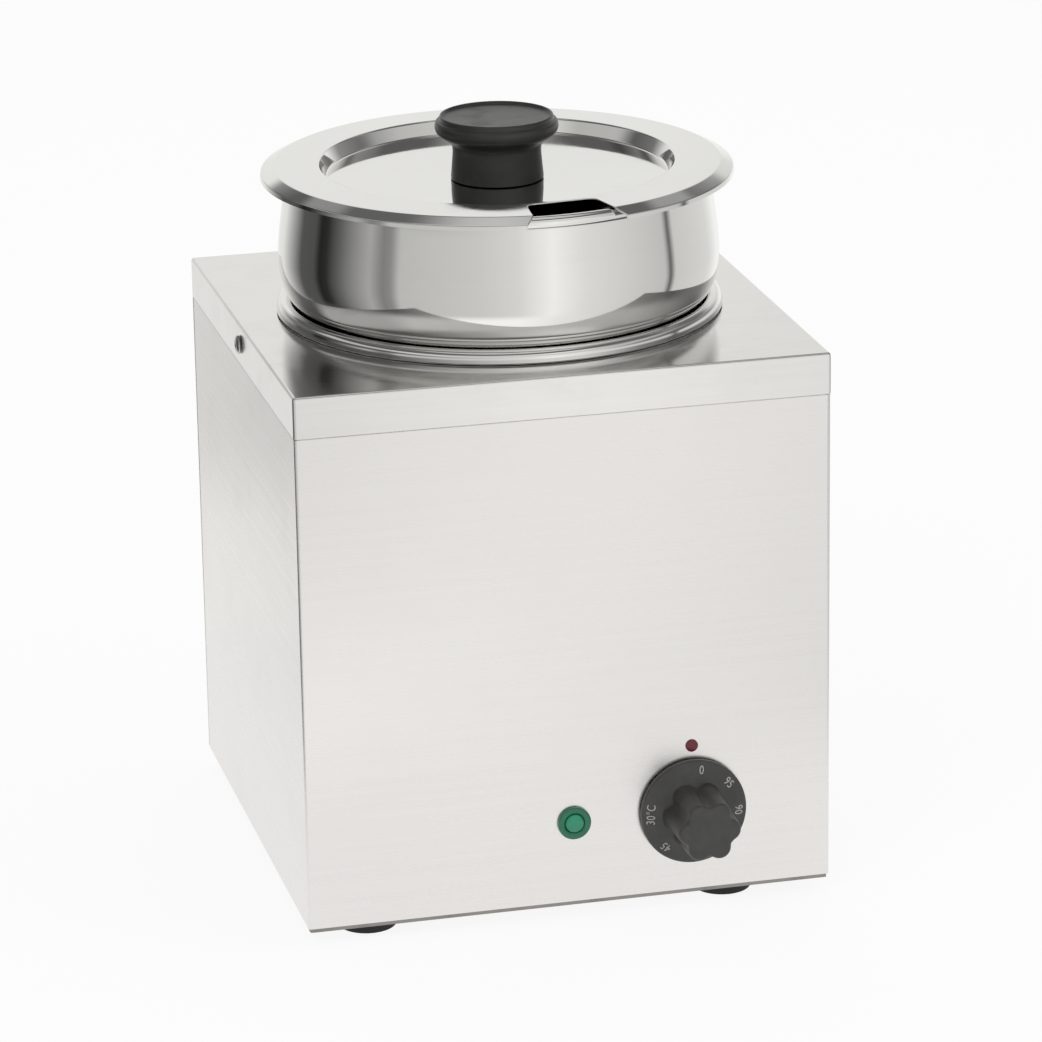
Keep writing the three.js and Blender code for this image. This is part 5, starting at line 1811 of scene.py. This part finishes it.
@dataclass
class Supply(SubAssembly):
    """The cable gland in the rear panel, and the connections inside."""

    bore: float = 4.0
    thread: float = 8.0
    thread_length: float = 9.3
    neck: float = 7.0
    mouth_bend: float = 0.4
    thread_bend: float = 0.8
    neck_bend: float = 0.5
    hex: float = 11.0
    hex_hole: float = 6.0
    hex_height: float = 5.0
    hex_edge: float = 0.4
    cap: float = 10.2
    cap_gap: float = 0.4
    cap_roof: float = 4.0
    ribs: int = 18
    rib: float = 0.35
    rib_flank: float = 3.0
    cap_edge: float = 0.3
    dome_step: float = 0.1
    sleeve_shares: tuple[float, float] = (0.62, 0.68)
    dome_in: float = 3.4

    def build(self) -> None:
        """Builds the gland's outer pieces and carries what lies inside."""
        spot = spot_of("cable_gland", Turn.REAR)
        low, high = box_of("cable_gland")
        length = high.y - low.y
        panel, neck_foot = self.thread_length, self.thread_length + self.hex_height
        outline = rounded_line(
            [
                (self.bore, 0.0, self.mouth_bend),
                (self.thread, 0.0, self.thread_bend),
                (self.thread, panel),
                (self.neck, neck_foot),
                (self.neck, length, self.neck_bend),
                (self.bore, length, self.neck_bend),
            ],
            step=12.0,
        )
        body = lathe("gland_thread", outline, spot, sides=64)
        hole = circle(self.hex_hole, 48)
        hexagon = plate("tool", circle(self.hex, 6), [hole], (panel, neck_foot), spot, self.hex_edge)
        self.fit(cut(body, hexagon, join=True), Slot.BLACK_PLASTIC, "cable_gland")
        self.ribbed_cap()
        self.carry(Slot.BLACK_PLASTIC, "gland_nut")
        self.carry(Slot.WHITE_PLASTIC, "terminal_block")
        self.carry(Slot.PLATED_STEEL, "terminal_screw_left", "terminal_screw_right")
        self.carry(Slot.BRASS, "earth_stud", "earth_nut")
        self.carry(Slot.RED_WIRE, "wire_supply_thermostat", "wire_thermostat_heater")
        self.carry(Slot.BLUE_WIRE, "wire_supply_cutout", "wire_cutout_heater", "wire_supply_lamp")

    def ribbed_cap(self) -> None:
        """Builds the gland's cap: a ribbed sleeve under a smooth dome with the cord's hole."""
        low, high = box_of("gland_cap")
        length = high.y - low.y
        angles = np.linspace(0, 2 * math.pi, 12 * self.ribs, endpoint=False)
        rib = self.rib * (1 - np.clip(np.cos(self.ribs * angles) * self.rib_flank, -1, 1)) / 2
        ribs_end, dome_foot = (length * share for share in self.sleeve_shares)
        edge = self.cap_edge
        stations = [(0.0, edge, 1.0), (edge, 0.0, 1.0), (ribs_end, 0.0, 1.0)]
        stations.append((dome_foot, self.dome_step, 0.0))
        stations += [(dome_foot + (length - dome_foot) * math.sin(a), self.dome_in * (1 - math.cos(a)), 0.0)
                     for a in np.radians((20, 40, 60, 75, 90))]
        rings = []
        for z, inward, share in stations:
            radius = self.cap - inward - rib * share
            rings.append(ring_of(radius, angles, z))
        spot = spot_of("gland_cap", Turn.REAR)
        made = loft("gland_dome", rings, spot)
        sleeve = cylinder(self.neck + self.cap_gap, (-PAST, length - self.cap_roof), spot)
        bore = cylinder(self.bore, (-PAST, length + PAST), spot)
        self.fit(cut(made, sleeve, bore), Slot.BLACK_PLASTIC, "gland_cap")


@dataclass
class Heating(SubAssembly):
    """The heater, the sensor and the cutout under the well, all carried from the CAD."""

    def build(self) -> None:
        """Dresses the pieces under the well."""
        self.carry(Slot.PLATED_STEEL, "heater_element", "heater_clamp", "clamp_stud", "clamp_nut",
                   "bulb_clip")
        self.carry(Slot.COPPER, "sensor_bulb", "capillary_tube")
        self.carry(Slot.BLACK_PLASTIC, "overheat_cutout")


# The studio


@dataclass(frozen=True)
class StudioCamera:
    """The camera at the photograph's angle."""

    place: tuple[float, float, float] = (-0.57866, -2.41822, 0.98546)
    yaw: float = 13.636
    pitch: float = 18.153
    roll: float = -0.916
    lens: float = 175.37
    sensor: float = 36.0
    clip: tuple[float, float] = (0.05, 50.0)

    def build(self) -> None:
        """Makes the camera and gives it to the scene."""
        yaw, pitch, roll = (math.radians(a) for a in (self.yaw, self.pitch, self.roll))
        ahead = Vector((math.sin(yaw) * math.cos(pitch), math.cos(yaw) * math.cos(pitch), -math.sin(pitch)))
        right = Vector((math.cos(yaw), -math.sin(yaw), 0.0))
        up = right.cross(ahead)
        across = math.cos(roll) * right + math.sin(roll) * up
        above = -math.sin(roll) * right + math.cos(roll) * up
        data = bpy.data.cameras.new("Studio camera")
        data.sensor_width = self.sensor
        data.lens = self.lens
        data.clip_start, data.clip_end = self.clip
        camera = linked(bpy.data.objects.new("Studio camera", data))
        camera.matrix_world = Matrix((across, above, -ahead)).transposed().to_4x4()
        camera.location = self.place
        bpy.context.scene.camera = camera


@dataclass(frozen=True)
class Card:
    """A stretch of the studio's cards: its bearing from the camera's side, and how light it is."""

    bearing: float
    shade: float


@dataclass(frozen=True)
class Tier:
    """A band of cards: how far out and up it begins to show, where it is full, and its cards."""

    begins: float
    full: float
    cards: tuple[Card, ...]

    @classmethod
    def of(cls, begins: float, full: float, *shades: tuple[float, float]) -> "Tier":
        """Makes a tier from pairs of a bearing and a shade."""
        return cls(begins, full, tuple(Card(bearing, shade) for bearing, shade in shades))


@dataclass(frozen=True)
class Lamp:
    """A soft lamp: where it hangs, its size and its power."""

    name: str
    place: tuple[float, float, float]
    size: float
    power: float


@dataclass
class Studio:
    """A pale floor, a tent of cards that only reflections see, soft lamps and a white world.

    Its lengths are in metres. A tier begins where a point's distance from the axis and its height add
    up to so much, which goes up the tent from the apron on the floor to the top of the roof.
    """

    radius: float = 0.95
    apron: float = 0.4
    height: float = 1.6
    roof_slope: float = 2.0
    roof_hole: float = 0.001
    sides: int = 180
    warmth: float = 0.985
    pot_radius: float = 0.11
    floor_half: float = 8.0
    floor_depth: float = 0.02
    floor_grey: float = 0.9
    floor_roughness: float = 0.9
    world_light: float = 0.62
    floor_share: float = 0.9
    camera_bearing: float = -13.75
    aim: tuple[float, float, float] = (0.0, 0.0, 0.2)
    tiers: tuple[Tier, ...] = (
        Tier.of(0.0, 0.1, (-180, 1.0), (-134, 1.0), (-119, 0.12), (-94, 0.08), (-60, 0.3), (-38, 0.75),
                (-20, 1.1), (10, 1.1), (60, 0.78), (97, 0.7), (140, 0.85), (180, 1.0)),
        Tier.of(0.6, 0.8, (-180, 0.9), (-150, 0.85), (-138, 0.5), (-124, 0.1), (-111, 0.09), (-106, 0.02),
                (-100, 0.03), (-90, 0.14), (-70, 0.45), (-62, 0.25), (-57, 0.3), (-52, 0.6), (-10, 0.7),
                (10, 0.8), (28, 1.05), (46, 0.85), (96, 0.62), (100, 0.1), (104, 0.7), (140, 0.8),
                (157, 1.0), (180, 0.9)),
        Tier.of(1.31, 1.47, (-180, 0.9), (-160, 0.9), (-138, 0.2), (-105, 0.08), (-57, 0.12), (-25, 0.45),
                (24, 0.95), (44, 0.9), (76, 0.28), (105, 0.12), (140, 0.3), (158, 0.75), (180, 0.9)),
        Tier.of(1.6, 1.72, (-180, 0.9), (-168, 0.8), (-155, 0.12), (-124, 0.1), (-114, 0.55), (-66, 0.55),
                (-50, 0.75), (30, 0.7), (80, 0.58), (135, 0.14), (155, 0.2), (166, 0.7), (180, 0.9)),
        Tier.of(1.95, 2.05, (-180, 0.6), (-130, 0.08), (-57, 0.12), (-8, 0.5), (35, 1.0), (56, 0.85),
                (74, 0.35), (110, 0.12), (150, 0.35), (180, 0.6)),
        Tier.of(2.25, 2.4, (-180, 0.14), (180, 0.14)),
        Tier.of(2.65, 2.85, (-180, 0.66), (180, 0.66)),
    )
    lamps: tuple[Lamp, ...] = (
        Lamp("Key lamp", (-1.3, -1.6, 1.9), 1.2, 14.0),
        Lamp("Fill lamp", (1.7, -1.1, 1.5), 1.4, 8.0),
        Lamp("Back lamp", (0.3, 1.5, 2.0), 1.4, 7.0),
    )

    def build(self) -> None:
        """Sets up the view transform, the world, the floor, the cards and the lamps."""
        bpy.context.scene.view_settings.view_transform = "Standard"
        self.world()
        self.floor()
        self.cards()
        for lamp in self.lamps:
            self.lamp(lamp)

    def seen(self, graph: Graph) -> bpy.types.NodeSocket:
        """Gives 1 for rays from the camera and through gloss or glass, and 0 for the rest."""
        path = graph.add("LightPath")
        either = graph.math("MAXIMUM", path.outputs["Is Camera Ray"], path.outputs["Is Glossy Ray"])
        return graph.math("MAXIMUM", either, path.outputs["Is Transmission Ray"])

    def world(self) -> None:
        """Makes a world that looks white and lights softly."""
        world = bpy.data.worlds.new("Studio world")
        bpy.context.scene.world = world
        world.use_nodes = True
        graph = Graph(world.node_tree)
        background = graph.first("BACKGROUND")
        background.inputs["Color"].default_value = WHITE
        seen = self.seen(graph)
        graph.feed(background.inputs["Strength"], graph.spread(seen, self.world_light, 1.0))

    def floor(self) -> None:
        """Lays the floor, which looks white and keeps a faint shadow."""
        half = self.floor_half / MM
        outline = rectangle(-half, -half, half, half)
        floor = prism("studio_floor", outline, (-self.floor_depth / MM, 0.0), ORIGIN)
        material, graph = new_material("Studio floor")
        shader = graph.first("BSDF_PRINCIPLED")
        shader.inputs["Base Color"].default_value = rgba((self.floor_grey,) * 3)
        shader.inputs["Roughness"].default_value = self.floor_roughness
        shader.inputs["Specular IOR Level"].default_value = 0.0
        glow = graph.add("Emission")
        glow.inputs["Color"].default_value = WHITE
        blend = graph.add("MixShader")
        graph.feed(blend.inputs[0], graph.spread(self.seen(graph), 0.0, self.floor_share))
        graph.feed(blend.inputs[1], shader.outputs[0])
        graph.feed(blend.inputs[2], glow.outputs[0])
        graph.feed(graph.first("OUTPUT_MATERIAL").inputs["Surface"], blend.outputs[0])
        floor.data.materials.append(material)

    def ramp(
        self, graph: Graph, share: bpy.types.NodeSocket, cards: Sequence[Card]
    ) -> bpy.types.NodeSocket:
        """Turns cards into a colour ramp over the bearing.

        Args:
            graph: The material's graph.
            share: The bearing as a share of the whole turn.
            cards: The cards in the order of their bearings.

        Returns:
            The socket with the shade.
        """
        node = graph.add("ValToRGB")
        stops = node.color_ramp.elements
        while len(stops) < len(cards):
            stops.new(0.5)
        for stop, card in zip(stops, cards, strict=True):
            stop.position = (card.bearing + 180.0) / 360.0
            stop.color = (card.shade, card.shade, card.shade * self.warmth, 1.0)
        graph.feed(node.inputs[0], share)
        return node.outputs[0]

    def cards(self) -> None:
        """Stands a tent of light and dark cards round the machine, which only reflections see."""
        sides = self.sides
        angles = np.linspace(0, 2 * math.pi, sides, endpoint=False)
        ring = np.column_stack([np.cos(angles), np.sin(angles)]) / MM
        roof = (self.height + self.roof_slope * self.radius) / MM
        rows = ((self.apron, 1.0), (self.radius, 1.0), (self.radius, self.height / MM),
                (self.roof_hole, roof))
        vertices = [(x * r, y * r, z) for r, z in rows for x, y in ring]
        faces = [(row + k, row + (k + 1) % sides, row + sides + (k + 1) % sides, row + sides + k)
                 for row in range(0, sides * (len(rows) - 1), sides) for k in range(sides)]
        wall = mesh_object("studio_cards", vertices, faces, ORIGIN)
        material, graph = new_material("Studio cards")
        where = graph.add("SeparateXYZ")
        graph.feed(where.inputs[0], graph.add("TexCoord").outputs["Object"])
        x, y, z = where.outputs
        squares = graph.math("ADD", graph.math("MULTIPLY", x, x), graph.math("MULTIPLY", y, y))
        out = graph.math("SQRT", squares)
        bearing = graph.math("ARCTAN2", x, graph.math("MULTIPLY", y, -1.0))
        turned = graph.math("SUBTRACT", bearing, math.radians(self.camera_bearing))
        turns = graph.math("FRACT", graph.math("ADD", graph.math("DIVIDE", turned, 2 * math.pi), 1.5))
        half_turn = graph.math("MULTIPLY", graph.math("SUBTRACT", turns, 0.5), math.pi)
        aside = graph.math("MULTIPLY", graph.math("SINE", half_turn), self.pot_radius / (2 * math.pi))
        share = graph.math("ADD", turns, graph.math("DIVIDE", aside, out), clamp=True)
        reach = graph.math("ADD", out, z)
        shade = None
        for tier in self.tiers:
            band = self.ramp(graph, share, tier.cards)
            blend = graph.spread(reach, 0.0, 1.0, tier.begins, tier.full, smooth=True)
            shade = band if shade is None else graph.mix(blend, shade, band)
        glow = graph.add("Emission")
        graph.feed(glow.inputs["Color"], shade)
        graph.feed(graph.first("OUTPUT_MATERIAL").inputs["Surface"], glow.outputs[0])
        wall.data.materials.append(material)
        wall.visible_camera = False
        wall.visible_diffuse = False
        wall.visible_shadow = False
        wall.visible_volume_scatter = False

    def lamp(self, lamp: Lamp) -> None:
        """Hangs one soft lamp that points at the machine.

        Args:
            lamp: The lamp.
        """
        light = bpy.data.lights.new(lamp.name, "AREA")
        light.shape = "DISK"
        light.size = lamp.size
        light.energy = lamp.power
        hung = linked(bpy.data.objects.new(lamp.name, light))
        hung.location = lamp.place
        ahead = Vector(self.aim) - Vector(lamp.place)
        hung.rotation_euler = ahead.to_track_quat("-Z", "Y").to_euler()
        hung.visible_glossy = False


def main() -> None:
    """Builds the machine and its studio."""
    logging.basicConfig(level=logging.INFO, format="%(name)s: %(message)s")
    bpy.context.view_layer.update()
    StudioCamera().build()
    finishes = Finishes()
    for kind in (Casing, Screws, Feet, Well, Heating, Controls, Supply, Pot, Lid, Dial):
        kind(finishes).build()
        LOG.info("%s built", kind.__name__)
    Studio().build()


if __name__ == "__main__":
    main()
